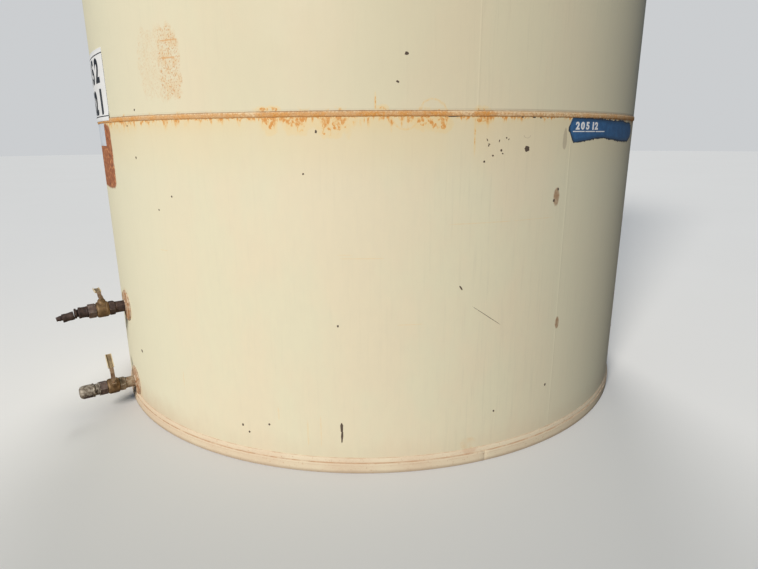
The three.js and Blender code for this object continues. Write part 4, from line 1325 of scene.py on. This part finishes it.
# %% Coupling, tail and plug
COUPLING = mm([(0, 190.3), (29.5, 190.3), (29.5, 199), (28.2, 200.5), (28.2, 223.5), (29.5, 225), (29.5, 234),
               (20, 237), (20, 245), (26, 245), (26, 254), (0, 254)])
TAIL = mm([(0, 0), (22, 0), (22, 17), (21, 18.5), (21, 36), (22, 37.5), (22, 54), (0, 54)])
PLUG = mm([(0, 54.3), (13.5, 54.3), (13.5, 68), (11.4, 69), (11.4, 80), (10.6, 81.3), (0, 81.3)])
COUPLING_END, TAIL_RADIUS, TAIL_DROP, PLUG_LIFT = 0.2543, 0.022, 0.008, 0.004
DROOP = math.radians(8)
TAIL_START = COUPLING_END + TAIL_RADIUS * math.sin(DROOP)

outlet = outlet_place(OUTLET_HEIGHTS["upper"])
tail_place = outlet @ shift(0, -TAIL_DROP, TAIL_START) @ Matrix.Rotation(DROOP, 4, "X")
for name, profile, corner, around, place, node in (
        ("pipe_coupling", COUPLING, 0.0012, 64, outlet, "upper_coupling"),
        ("drooping_tail", TAIL, 0.001, 48, tail_place, "upper_tail"),
        ("square_end_plug", PLUG, 0.0006, 32, tail_place @ shift(0, PLUG_LIFT, 0), "upper_end_plug")):
    single_part(name, DARK_FITTING, turned(rounded(profile, corner), around), place, "dark_pipe", node)

# %% [markdown]
# ## Signs and strips
# At the left a white placard is stuck on the shell over a small pale label, and at the right a
# torn blue strip is left. Each is a thin sheet, drawn flat in columns and rolled, and the placard
# rides up over the weld band at its lower edge. The placard carries plain numbers only.

# %% Thin sheets
WELD_LIFT, LIFT_TOP, LIFT_FADE = 0.0045, 1.588, 0.024
SHEET_GAP, PLACARD_THICKNESS, PRINT_LIFT, PRINT_THICKNESS = 0.0004, 0.001, 0.0009, 0.0004
PLACARD = (-2.01, -1.402, 1.549, 1.874)
PALE_LABEL = (-1.82, -1.54, 1.43, 1.5385)
BORDER_INSET, BORDER_WIDTH = 0.02, 0.0045


def over_weld(height):
    """How far a sheet's back stands off the shell, to ride over the weld band."""
    share = min(1.0, max(0.0, (LIFT_TOP - height) / LIFT_FADE))
    return SHEET_GAP + WELD_LIFT * share * share * (3 - 2 * share)


def on_placard(height):
    return over_weld(height) + PRINT_LIFT


def level_at(lift):
    """The same lift at all heights."""
    return lambda height: lift


def thin_sheet(columns, rows, thickness, lift):
    """A closed flat sheet through columns of (arc, low, high), its back standing off by lift(height)."""
    sides = ([], [])
    for arc, low, high in columns:
        for k in range(rows + 1):
            height = low + (high - low) * k / rows
            sides[0].append((arc, -lift(height) - thickness, height))
            sides[1].append((arc, -lift(height), height))
    tall, wide = rows + 1, len(columns)
    count = tall * wide
    faces = []
    for i in range(wide - 1):
        for k in range(rows):
            a, b, c, d = i * tall + k, (i + 1) * tall + k, (i + 1) * tall + k + 1, i * tall + k + 1
            faces += [[a, b, c, d], [count + d, count + c, count + b, count + a]]
    rim = [i * tall for i in range(wide)] + [(wide - 1) * tall + k for k in range(1, tall)]
    rim += [i * tall + rows for i in range(wide - 2, -1, -1)] + list(range(rows - 1, 0, -1))
    faces += [[b, a, count + a, count + b] for a, b in zip(rim, rim[1:] + rim[:1])]
    return sides[0] + sides[1], faces


def even_columns(start, end, low, high, step=0.015):
    count = max(1, round((end - start) / step))
    return [(start + (end - start) * k / count, low, high) for k in range(count + 1)]


def rolled_sheet(name, sheets, material):
    part = Part(name, material)
    for sheet in sheets:
        part.add(sheet)
    piece = part.piece()
    run_tree(piece, rolled_layer, material=material)
    finish_piece(piece, None)


sheet = thin_sheet(even_columns(*PLACARD), 24, PLACARD_THICKNESS, over_weld)
rolled_sheet("white_placard", [sheet], SIGN_WHITE)
left, right, low, high = PLACARD
start, end = left + BORDER_INSET, right - SHEET_GAP
bottom, top = low + BORDER_INSET, high - BORDER_INSET
# The right bar stands at the placard's very edge and is half as wide: a painted shadow of that edge.
border_and_edge_shadow = [(start, end, bottom, bottom + BORDER_WIDTH), (start, end, top - BORDER_WIDTH, top),
          (start, start + BORDER_WIDTH, bottom, top), (end - BORDER_WIDTH / 2, end, bottom, top)]
bars = [thin_sheet(even_columns(*bar), 12, PRINT_THICKNESS, on_placard) for bar in border_and_edge_shadow]
rolled_sheet("placard_border", bars, SIGN_BLACK)
rolled_sheet("pale_label", [thin_sheet(even_columns(*PALE_LABEL), 4, 0.0005, level_at(0.0003))], LABEL_BLUE)

# %% [markdown]
# Digits are text, turned to meshes, widened, stood on their sheet, and cut into narrow columns so
# that they bend with the shell.

# %% Plain numbers
BROAD = 1.25
DIGIT_CUTS = 12
# Each row: text, arc where it ends, foot, height and pitch of its digits
NUMBER_ROWS = (("4052", -1.49, 1.726, 0.114, 0.13), ("521", -1.49, 1.579, 0.119, 0.13))


def digit_mesh(digit):
    curve = bpy.data.curves.new("digit", "FONT")
    curve.body, curve.extrude, curve.offset, curve.align_x = digit, 0.0005, 0.045, "RIGHT"
    return curve_mesh(curve)


def number_body(text, end, low, tall, pitch, lift=on_placard):
    """Flat digits of a given height that end at an arc, cut into narrow columns for rolling."""
    points, faces = [], []
    for place, digit in enumerate(reversed(text)):
        mesh = digit_mesh(digit)
        ups = [vertex.co.y for vertex in mesh.vertices]
        scale = tall / (max(ups) - min(ups))
        furthest = max(vertex.co.x for vertex in mesh.vertices) * scale
        right = end - place * pitch
        for vertex in mesh.vertices:
            x, y, z = vertex.co
            stand = lift(low) + 0.0003 + (0.0004 if z > 0 else 0.0)
            vertex.co = (right - (furthest - x * scale) * BROAD, -stand, low + (y - min(ups)) * scale)
        shape = bmesh.new()
        shape.from_mesh(mesh)
        bmesh.ops.remove_doubles(shape, verts=shape.verts, dist=0.00002)
        for k in range(DIGIT_CUTS):
            everything = shape.verts[:] + shape.edges[:] + shape.faces[:]
            plane = (right - pitch * k / DIGIT_CUTS, 0.0, 0.0)
            bmesh.ops.bisect_plane(shape, geom=everything, plane_co=plane, plane_no=(1.0, 0.0, 0.0))
        shape.verts.index_update()
        first = len(points)
        points.extend(tuple(vertex.co) for vertex in shape.verts)
        faces.extend([first + vertex.index for vertex in face.verts] for face in shape.faces)
        shape.free()
    return points, faces


rolled_sheet("placard_numbers", [number_body(*row) for row in NUMBER_ROWS], SIGN_BLACK)

# %% [markdown]
# The blue strip was torn off by hand. Its two edges run through measured corners and are torn by a
# seeded random amount, once for the dark glue that is left round it and once for the strip.

# %% Torn blue strip
STRIP_TOP = ((0.912, 1.493), (0.92, 1.524), (0.929, 1.5357), (1.1, 1.533), (1.3, 1.527),
             (1.42, 1.529), (1.49, 1.521), (1.575, 1.523), (1.63, 1.506), (1.6464, 1.484))
STRIP_LOW = ((0.912, 1.492), (0.926, 1.466), (0.9488, 1.4381), (1.04, 1.447), (1.12, 1.456),
             (1.194, 1.4571), (1.432, 1.4405), (1.551, 1.4405), (1.6345, 1.464), (1.6464, 1.483))
STRIP_START, STRIP_END = STRIP_TOP[0][0], STRIP_TOP[-1][0]
STRIP_STEPS = 74
STRIPE_BITS = ((0.935, 1.02), (1.026, 1.105), (1.112, 1.196))
STRIPE_LOW, STRIPE_TOP = 1.48, 1.484


def along_edge(edge, arc):
    """Height of an edge at an arc, straight between its corners."""
    for (start, low), (end, high) in zip(edge, edge[1:]):
        if start <= arc <= end:
            return low + (high - low) * (arc - start) / (end - start)
    return edge[-1][1]


def torn_sheet(grow, rough, seed, lift):
    """The strip's sheet with its edges moved outwards by grow and torn by rough."""
    ragged = random.Random(seed)
    start, end = STRIP_START - grow, STRIP_END + grow
    columns = []
    for k in range(STRIP_STEPS + 1):
        arc = start + (end - start) * k / STRIP_STEPS
        inside = min(max(arc, STRIP_START), STRIP_END)
        low = along_edge(STRIP_LOW, inside) - grow + ragged.uniform(-rough, rough)
        high = along_edge(STRIP_TOP, inside) + grow + ragged.uniform(-rough, rough)
        columns.append((arc, low, max(high, low + 0.004)))
    return thin_sheet(columns, 6, 0.0004, level_at(lift))


rolled_sheet("strip_torn_edge", [torn_sheet(grow=0.0065, rough=0.0036, seed=3, lift=0.0003)], STRIP_NAVY)
rolled_sheet("torn_blue_strip", [torn_sheet(grow=0.0, rough=0.001, seed=11, lift=0.0006)], STRIP_BLUE)
bits = [thin_sheet(even_columns(start, end, STRIPE_LOW, STRIPE_TOP), 1, 0.0003, level_at(0.0009))
        for start, end in STRIPE_BITS]
rolled_sheet("strip_white_line", bits, SIGN_WHITE)
digits = number_body("20512", end=1.128, low=1.4895, tall=0.033, pitch=0.037, lift=level_at(0.0008))
rolled_sheet("strip_numbers", [digits], SIGN_WHITE)

# %% [markdown]
# ## Chips and scratches
# Old paint chips off in small ragged spots. They are films on the surface: a tree puts a ragged
# disc on each marked point, sized and turned by the point's own attributes, and the rolls lay them
# on the shell. The marked ones stand where they are on the real tank, and a seeded scatter carries
# them round to the sides that are not seen.

# %% Chip tree
given = start_geometry("paint_chips", thickness=0.0008, ragged=0.7)
disc = wire("GeometryNodeMeshCylinder", {"Vertices": 14, "Radius": 1.0, "Depth": 1.0}, "Mesh")
size = wire("GeometryNodeInputNamedAttribute", {"Name": "half_size"}, data_type="FLOAT_VECTOR")
tilt = wire("GeometryNodeInputNamedAttribute", {"Name": "tilt"}, data_type="FLOAT")
wide, high = parts_of(size)[:2]
fill = {"Points": given.geometry, "Instance": disc, "Rotation": vector_of(math.pi / 2, tilt, 0.0),
        "Scale": vector_of(wide, high, given.thickness)}
chips = wire("GeometryNodeRealizeInstances", {"Geometry": wire("GeometryNodeInstanceOnPoints", fill)})
fill = {0: noise(190.0, out="Color"), 1: (0.5, 0.5, 0.5)}
centred = wire("ShaderNodeVectorMath", fill, operation="SUBTRACT")
flat_tear = wire("ShaderNodeVectorMath", {0: centred, 1: (1.0, 0.0, 1.0)}, operation="MULTIPLY")
torn = push_by(chips, resized(flat_tear, calc("MINIMUM", wide, high) * (given.ragged * 2.0)))
paint_chips = close_geometry(use_group(roll_round_tank, geometry=torn).geometry, given.material)

# %% [markdown]
# A chip is listed by its arc, height, half width and half height in millimetres and its tilt in
# degrees.

# %% Chips
CHIPS = (
    (146, 1762, 7.5, 6, 0), (113, 1664, 6, 4, 20), (-1115, 1586, 4.5, 4.5, 0), (-201, 1486, 4.5, 6, 0),
    (-1151, 1381, 5, 6, 0), (-258, 1326, 4, 4, 0), (-908, 1219, 4.5, 4, 0), (-1008, 1155, 4, 4, 0),
    (-137, 698, 4, 5, 0), (-1365, 383, 10, 7, 30), (-608, 186, 4.5, 6.5, 0), (-575, 155, 4.5, 5, 0),
    (-470, 210, 4.5, 5, 0), (882, 307, 5, 6, 0), (575, 243, 4, 5, 0), (480, 1450, 2.2, 6, -25),
    (489, 1434, 5, 2.2, 10), (487, 1428, 2.2, 4, 20), (535, 1446, 2, 5.5, 15), (568, 1458, 3.2, 3.2, 0),
    (579, 1452, 1.6, 4, 30), (546, 1409, 4.2, 4.5, 0), (553, 1396, 3.4, 2.6, 20),
    (508, 1389, 4.5, 3.2, 10), (470, 1366, 4.5, 4, 0), (672, 1414, 12.5, 11.5, 0), (868, 1240, 4.5, 6, 0),
    (846, 1192, 6, 6, 0), (346, 1540, 36, 2.4, -3), (387, 848, 11.5, 3.6, 55), (515, 711, 88, 1.1, 35),
    (-132, 224, 6, 24, 0), (-131, 178, 5, 30, 3), (640, 1538, 6, 2, 0), (700, 1537, 8, 2, 0),
    (735, 1536, 5, 2, 0), (-1200, 1520, 6, 2, 0),
)
SEEN_ARC, SEEN_TOP, SCATTER_TOP = 1.75, 2.0, SHELL_TOP - 0.12
SIDE_CHIPS, UPPER_CHIPS = 110, 26

scatter = random.Random(5)
hidden_chips = []
for k in range(SIDE_CHIPS):
    arc = scatter.uniform(SEEN_ARC, WHOLE_TURN - SEEN_ARC)
    hidden_chips.append((arc, scatter.uniform(0.1, SCATTER_TOP), scatter.uniform(0.003, 0.0085),
                         scatter.uniform(0.003, 0.008), scatter.uniform(-40, 40)))
for k in range(UPPER_CHIPS):
    hidden_chips.append((scatter.uniform(-1.7, 1.7), scatter.uniform(SEEN_TOP, SCATTER_TOP),
                         scatter.uniform(0.003, 0.007), scatter.uniform(0.003, 0.007), 0.0))

marks = [(*(value / 1000 for value in chip[:4]), chip[4]) for chip in CHIPS] + hidden_chips
chips = new_piece("paint_chip_spots", [(mark[0], -SEAT_GAP, mark[1]) for mark in marks])
sizes = chips.data.attributes.new("half_size", "FLOAT_VECTOR", "POINT")
sizes.data.foreach_set("vector", [value for mark in marks for value in (mark[2], mark[3], 0.0)])
tilts = chips.data.attributes.new("tilt", "FLOAT", "POINT")
tilts.data.foreach_set("value", [math.radians(mark[4]) for mark in marks])
run_tree(chips, paint_chips, material=CHIP_BROWN)
finish_piece(chips, "shell_paint")

# %% [markdown]
# ## Rim and deck
# The top of the shell is stiffened by a rolled angle bar, turned here from its L section. The deck
# is a shallow cone of three wedges. A wedge is a box bent into a sector by a geometry tree and
# laid on the cone, with the manway's hole cut out of it, and beads close the seams.

# %% Rim
RIM_THICKNESS = 0.006
RIM_INNER = TANK_RADIUS + SEAT_GAP
RIM_SECTION = [
    (RIM_INNER, SHELL_TOP - RIM_LEG), (RIM_INNER + RIM_THICKNESS, SHELL_TOP - RIM_LEG),
    (RIM_INNER + RIM_THICKNESS, SHELL_TOP - RIM_THICKNESS), (RIM_INNER + RIM_LEG, SHELL_TOP - RIM_THICKNESS),
    (RIM_INNER + RIM_LEG, SHELL_TOP), (RIM_INNER, SHELL_TOP)]
cream_part("rim_angle_bar", hollow(RIM_SECTION, 0.0016, 288), "rim_angle")

# %% [markdown]
# The deck's height falls with the distance from the axis, and slight waves fade out towards the
# rim, where the plate is held.

# %% Deck trees
given = start_tree("GeometryNodeTree", "lay_on_deck", geometry="Geometry")
x, y, z = parts_of(position())
reach = length_of(vector_of(x, y, 0.0))
wave = (noise(1.5, 1.0) - 0.5) * ease(reach, 1.6, 1.35, 0.0, 0.006)
cone = reach * -DECK_SLOPE + deck_top(0.0)
lay_on_deck = close_tree(geometry=move_to(given.geometry, vector_of(x, y, z + (cone + wave))))

given = start_geometry("deck_wedge", start=0.0, angle=1.0, inner=0.1, outer=1.0, thickness=0.005, columns=61,
                       rows=25, hole_radius=0.1, hole_place="Vector")
fill = {"Size": WHOLE_BLOCK, "Vertices X": given.columns, "Vertices Y": given.rows, "Vertices Z": 2}
block = wire("GeometryNodeMeshCube", fill)
x, y, z = parts_of(position())
azimuth = (x + 0.5) * given.angle + given.start
reach = given.outer - (y + 0.5) * (given.outer - given.inner)
sine, cosine = calc("SINE", azimuth), calc("COSINE", azimuth)
flat = vector_of(reach * sine, -(reach * cosine), (z - 0.5) * given.thickness)
laid = use_group(lay_on_deck, geometry=move_to(block, flat)).geometry
drill = wire("GeometryNodeMeshCylinder", {"Vertices": 72, "Radius": given.hole_radius, "Depth": 1.0}, "Mesh")
fill = {0: laid, 1: carry(drill, given.hole_place)}
holed = wire("GeometryNodeMeshBoolean", fill, operation="DIFFERENCE", solver="EXACT")
deck_wedge = close_geometry(holed, given.material)

# %% [markdown]
# The neck and its flange are one welded part, and a rubber gasket parts the flange and the cover.

# %% Deck, manway neck and cover
DECK_SEAM_GAP, HOLE_PLAY = 0.0002, 0.0004
manway_centre = plan_point(MANWAY_DISTANCE, MANWAY_AZIMUTH)
for plate in range(PLATES):
    wedge = new_piece(f"deck_wedge_{plate + 1}")
    run_tree(wedge, deck_wedge, start=DECK_SEAM + plate * PLATE_TURN + DECK_SEAM_GAP / 2,
             angle=PLATE_TURN - DECK_SEAM_GAP, inner=VENT_RADIUS + HOLE_PLAY, outer=DECK_RADIUS,
             thickness=DECK_THICKNESS, hole_radius=MANWAY_RADIUS + HOLE_PLAY,
             hole_place=(manway_centre.x, manway_centre.y, SHELL_TOP), material=CREAM_PAINT)
    finish_piece(wedge, "shell_paint", f"deck_plate_{plate + 1}")

NECK_DROP, NECK_HEIGHT, NECK_WALL, GASKET_THICKNESS = 0.06, 0.2, 0.0065, 0.0023
NECK_BASE = deck_top(MANWAY_DISTANCE) - DECK_THICKNESS - NECK_DROP
NECK_TOP = NECK_BASE + NECK_HEIGHT
NECK_INNER = MANWAY_RADIUS - NECK_WALL
FLANGE_RADIUS, FLANGE_THICKNESS = 0.33, 0.012
FLANGE_BASE = NECK_TOP - FLANGE_THICKNESS
COVER_BASE, COVER_TOP = NECK_TOP + GASKET_THICKNESS, NECK_TOP + 0.0123
GASKET_INNER, GASKET_OUTER = 0.262, 0.3285
NECK = [(NECK_INNER, NECK_BASE), (MANWAY_RADIUS, NECK_BASE), (MANWAY_RADIUS, FLANGE_BASE),
        (FLANGE_RADIUS, FLANGE_BASE), (FLANGE_RADIUS, NECK_TOP), (NECK_INNER, NECK_TOP)]
COVER = [(0, COVER_BASE), (FLANGE_RADIUS, COVER_BASE), (FLANGE_RADIUS, COVER_TOP), (0.262, COVER_TOP),
         (0.2, COVER_TOP + 0.0004), (0.1, COVER_TOP + 0.0006), (0, COVER_TOP + 0.0006)]
GASKET = [(GASKET_INNER, NECK_TOP), (GASKET_OUTER, NECK_TOP), (GASKET_OUTER, COVER_BASE),
          (GASKET_INNER, COVER_BASE)]
manway_place = Matrix.Translation(manway_centre)
cream_part("manway_neck_and_flange", hollow(NECK, 0.0018, 96), "manway_neck", manway_place)
cream_part("manway_blind_cover", turned(rounded(COVER, 0.002), 96), "manway_cover", manway_place)
single_part("manway_gasket", GASKET_RUBBER, turned(GASKET, 96, closed=True), manway_place, "shell_paint")

# %% [markdown]
# Bolts hold the cover down in a circle. One bolt with its washers and nut is drawn once, and a
# tree sets it round the circle, each turned a little further.

# %% Bolt circle
BOLT_COUNT, BOLT_CIRCLE, BOLT_TWIST, BOLT_FLATS = 20, 0.298, 0.37, 0.012
WASHER_RADIUS, WASHER_THICKNESS, NUT_CORNER = 0.0165, 0.0025, 0.0132
BOLT_SHANK = [(0, FLANGE_BASE - 0.021), (0.0072, FLANGE_BASE - 0.021), (0.008, FLANGE_BASE - 0.02),
              (0.008, COVER_TOP), (0, COVER_TOP)]
WASHERS = (COVER_TOP, FLANGE_BASE - WASHER_THICKNESS)
NUTS = ((COVER_TOP + WASHER_THICKNESS, COVER_TOP + 0.0125),
        (FLANGE_BASE - 0.0155, FLANGE_BASE - WASHER_THICKNESS))

given = start_geometry("bolt_circle", count=20, circle_radius=0.3, place="Vector")
circle = wire("GeometryNodeMeshCircle", {"Vertices": given.count, "Radius": given.circle_radius})
twist = vector_of(0.0, 0.0, wire("GeometryNodeInputIndex") * BOLT_TWIST)
fill = {"Points": circle, "Instance": given.geometry, "Rotation": twist}
bolt_circle = close_geometry(carry(wire("GeometryNodeInstanceOnPoints", fill), given.place), given.material)

bolt = Part("manway_bolts", BOLT_STEEL)
bolt.add(turned(BOLT_SHANK, 12))
for washer, (low, high) in zip(WASHERS, NUTS):
    for base, top, radius, flats in ((washer, washer + WASHER_THICKNESS, WASHER_RADIUS, None),
                                     (low, high, NUT_CORNER, BOLT_FLATS)):
        bolt.add(turned([(0, base), (radius, base), (radius, top), (0, top)], 12, flats=flats))
bolts = bolt.piece()
run_tree(bolts, bolt_circle, count=BOLT_COUNT, circle_radius=BOLT_CIRCLE, material=BOLT_STEEL,
         place=(manway_centre.x, manway_centre.y, 0.0))
finish_piece(bolts, "rusty_steel")

# %% [markdown]
# ## Vent and lugs
# The gooseneck keeps rain out of the vent: a tube swept along a half circle, outer wall and bore
# in one closed body, with a wire screen in its mouth. The lifting lugs are plates with a shackle
# hole; a flat curve with a hole in it, given a thickness and a bevel, makes such a plate at once.

# %% Vent
VENT_WALL, VENT_BEND, BEND_STEPS, BEND_AROUND = 0.0055, 0.114, 36, 40
VENT_RISE, VENT_DROP, WIRE_RADIUS, SCREEN_INSET = 0.26, 0.04, 0.0006, 0.004
VENT_INNER = VENT_RADIUS - VENT_WALL
VENT_FOOT = deck_top(VENT_RADIUS) - DECK_THICKNESS
VENT_TOP = VENT_FOOT + VENT_RISE
RISER = [(VENT_INNER, VENT_FOOT - VENT_DROP), (VENT_RADIUS, VENT_FOOT - VENT_DROP),
         (VENT_RADIUS, VENT_TOP), (VENT_INNER, VENT_TOP)]
AWAY = plan_point(1.0, MANWAY_AZIMUTH + math.pi)
SIDEWAYS = AWAY.cross(UP)


def bend_rings(radius):
    """Rings of points along the half circle of the bend."""
    rings = []
    for step in range(BEND_STEPS + 1):
        turn = math.pi * step / BEND_STEPS
        height = VENT_TOP + SEAT_GAP + VENT_BEND * math.sin(turn)
        centre = AWAY * VENT_BEND * (1 - math.cos(turn)) + UP * height
        outwards = UP * math.sin(turn) - AWAY * math.cos(turn)
        rings.append([centre + radius * (outwards * math.cos(angle) + SIDEWAYS * math.sin(angle))
                      for angle in (math.tau * k / BEND_AROUND for k in range(BEND_AROUND))])
    return rings


cream_part("vent_riser", hollow(RISER, 0.0012, BEND_AROUND), "vent_pipe")
all_rings = bend_rings(VENT_RADIUS) + bend_rings(VENT_INNER)[::-1]
numbered = [list(range(k * BEND_AROUND, (k + 1) * BEND_AROUND)) for k in range(len(all_rings))]
bend = ([point for ring in all_rings for point in ring], ring_faces(numbered, closed=True))
cream_part("vent_gooseneck", bend, "vent_bend")

given = start_geometry("wire_screen", radius=0.04, wire=WIRE_RADIUS, count=13, place="Vector")
width = given.radius * 2.0
fill = {"Size X": width, "Size Y": width, "Vertices X": given.count, "Vertices Y": given.count}
net = sweep_rope(wire("GeometryNodeMeshToCurve", {"Mesh": wire("GeometryNodeMeshGrid", fill)}), given.wire, 5)
fill = {"Geometry": net, "Selection": length_of(position()) > given.radius}
net = wire("GeometryNodeDeleteGeometry", fill, domain="POINT")
wire_screen = close_geometry(carry(net, given.place), given.material)

screen = new_piece("vent_wire_screen")
mouth = AWAY * 2 * VENT_BEND + UP * (VENT_TOP + SEAT_GAP + SCREEN_INSET)
run_tree(screen, wire_screen, radius=VENT_INNER + WIRE_RADIUS, place=tuple(mouth), material=BOLT_STEEL)
finish_piece(screen, "rusty_steel", sharp=60)

# %% [markdown]
# A lug is drawn as shares of its reach and height, and stands under the rim at either side.

# %% Lifting lugs
LUG_REACH, LUG_HEIGHT, LUG_THICKNESS, LUG_HOLE, HOLE_POINTS = 0.09, 0.16, 0.012, 0.02, 32
LUG_BEVEL = 0.0012
LUG_OUTLINE = ((0.0, 0.0), (0.45, 0.0), (1.0, 0.4), (1.0, 0.8), (0.93, 0.93), (0.8, 1.0), (0.0, 1.0))
LUG_BASE = SHELL_TOP - RIM_LEG - SEAT_GAP - LUG_HEIGHT
HOLE_REACH, HOLE_HEIGHT = 0.55 * LUG_REACH, 0.65 * LUG_HEIGHT
LUG_WELD_OFFSET = LUG_THICKNESS / 2 + 0.0005

for side, azimuth in (("left", -math.pi / 2), ("right", math.pi / 2)):
    curve = bpy.data.curves.new("lug_outline", "CURVE")
    curve.dimensions, curve.fill_mode, curve.bevel_resolution = "2D", "BOTH", 2
    curve.extrude, curve.bevel_depth, curve.offset = LUG_THICKNESS / 2 - LUG_BEVEL, LUG_BEVEL, -LUG_BEVEL
    hole = [(HOLE_REACH + LUG_HOLE * math.cos(turn), HOLE_HEIGHT + LUG_HOLE * math.sin(turn))
            for turn in (-math.tau * k / HOLE_POINTS for k in range(HOLE_POINTS))]
    for outline in ([(x * LUG_REACH, y * LUG_HEIGHT) for x, y in LUG_OUTLINE], hole):
        spline = curve.splines.new("POLY")
        spline.points.add(len(outline) - 1)
        spline.points.foreach_set("co", [value for x, y in outline for value in (x, y, 0.0, 1.0)])
        spline.use_cyclic_u = True
    mesh = curve_mesh(curve)
    turn = Matrix.Rotation(azimuth - math.pi / 2, 4, "Z") @ Matrix.Rotation(math.pi / 2, 4, "X")
    mesh.transform(Matrix.Translation(plan_point(TANK_RADIUS + SEAT_GAP, azimuth, LUG_BASE)) @ turn)
    mesh.materials.clear()
    mesh.materials.append(CREAM_PAINT)
    finish_piece(place_object(f"shackle_lug_{side}", mesh), "shell_paint", f"lifting_lug_{side}")

    turn = Matrix.Rotation(azimuth, 4, "Z")
    foot = Matrix.Translation(plan_point(TANK_RADIUS + WELD_STANDOFF, azimuth)) @ turn
    lines = [[foot @ Vector((offset, 0.0, LUG_BASE + LUG_HEIGHT * share)) for share in (0.01, 0.99)]
             for offset in (-LUG_WELD_OFFSET, LUG_WELD_OFFSET)]
    weld_piece(f"lug_welds_{side}", [(line, False) for line in lines], CREAM_PAINT, "shell_paint")

# %% [markdown]
# One piece holds the deck's seams, its edge, and the welds at the manway and the vent.

# %% Welds on the deck
SEAM_START, SEAM_LENGTH, SEAM_STEPS = 0.05, 1.585, 40
WELD_SINK, CORNER_RISE = 0.0022, 0.0005

deck_paths = []
for plate in range(PLATES):
    azimuth = DECK_SEAM + plate * PLATE_TURN
    reaches = [SEAM_START + SEAM_LENGTH * k / SEAM_STEPS for k in range(SEAM_STEPS + 1)]
    deck_paths.append(([plan_point(reach, azimuth, deck_top(reach) - WELD_SINK) for reach in reaches], False))
for centre, radius, count in ((manway_centre, MANWAY_RADIUS, 96), (Vector(), VENT_RADIUS, 32)):
    ring = circle_path(Matrix.Translation(centre), radius + WELD_STANDOFF, count)
    deck_paths.append(([Vector((point.x, point.y, deck_top(math.hypot(point.x, point.y)) + CORNER_RISE))
                        for point in ring], True))
deck_paths.append((circle_path(Matrix(), DECK_RADIUS + WELD_STANDOFF, 288, SHELL_TOP + WELD_STANDOFF), True))
deck_paths.append((circle_path(Matrix(), VENT_RADIUS - WELD_SINK, 32, VENT_TOP), True))
weld_piece("deck_welds", deck_paths, CREAM_PAINT, "shell_paint", ripple=0.0005, step=0.005)

# %% [markdown]
# ## Floor, light and picture
# A pale floor stands for the studio. The main light is wide and comes from the left front, so the
# shell falls off towards the right as the real one does; a weaker one behind keeps the back
# readable. The sky gives a little light that is cool and the floor throws back a little that is
# warm, so the shaded side stays dark. The picture is shown without a film curve, so paint keeps
# its colour.

# %% Studio
FLOOR_RADIUS, FLOOR_GAP = 60.0, 0.0005
FLOOR_SEEN = ((0.74, 0.735, 0.725), (0.77, 0.765, 0.755))
FLOOR_THROWN = (0.21, 0.165, 0.125)
SKY_SEEN, SKY_THROWN = (0.6, 0.615, 0.63), (0.033, 0.078, 0.135)


def camera_ray():
    return wire("ShaderNodeLightPath", out="Is Camera Ray")


floor_points, floor_faces = turned([(0.0, 0.0), (FLOOR_RADIUS, 0.0)], 96)
floor = new_piece("studio_floor", floor_points, [face[::-1] for face in floor_faces])
material = open_nodes(bpy.data.materials.new("pale_floor"))
colour = tint(camera_ray(), FLOOR_THROWN, tint(weather(3.0), *FLOOR_SEEN))
floor.data.materials.append(close_material(material, colour, 0.9, weather(0.02), 0.0002))
floor.location.z = -FLOOR_GAP
floor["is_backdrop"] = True


def soft_sun(name, azimuth, elevation, spread, power, tone):
    """A wide far light from an azimuth and elevation in degrees, soft by its spread."""
    light = bpy.data.lights.new(name, "SUN")
    light.energy, light.angle, light.color = power, math.radians(spread), tone
    rise = math.radians(elevation)
    towards = plan_point(math.cos(rise), math.radians(azimuth), math.sin(rise))
    place_object(name, light).rotation_euler = towards.to_track_quat("Z", "Y").to_euler()


soft_sun("key_light", azimuth=-27, elevation=28, spread=16, power=3.45, tone=(1.0, 0.965, 0.905))
soft_sun("back_light", azimuth=178, elevation=38, spread=25, power=1.6, tone=(1.0, 0.965, 0.915))

bpy.context.scene.world = open_nodes(bpy.data.worlds.new("studio_sky"))
sky = tint(camera_ray(), SKY_THROWN, SKY_SEEN)
background = wire("ShaderNodeBackground", {"Color": sky, "Strength": 1.0})
add_node("ShaderNodeOutputWorld", {"Surface": background})
bpy.context.scene.view_settings.view_transform = "Standard"
print("lights", len(bpy.data.lights), "finishes", len(bpy.data.materials))

# %% Sizes and finish
low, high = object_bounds()
print("visual box", tuple(low), tuple(high))
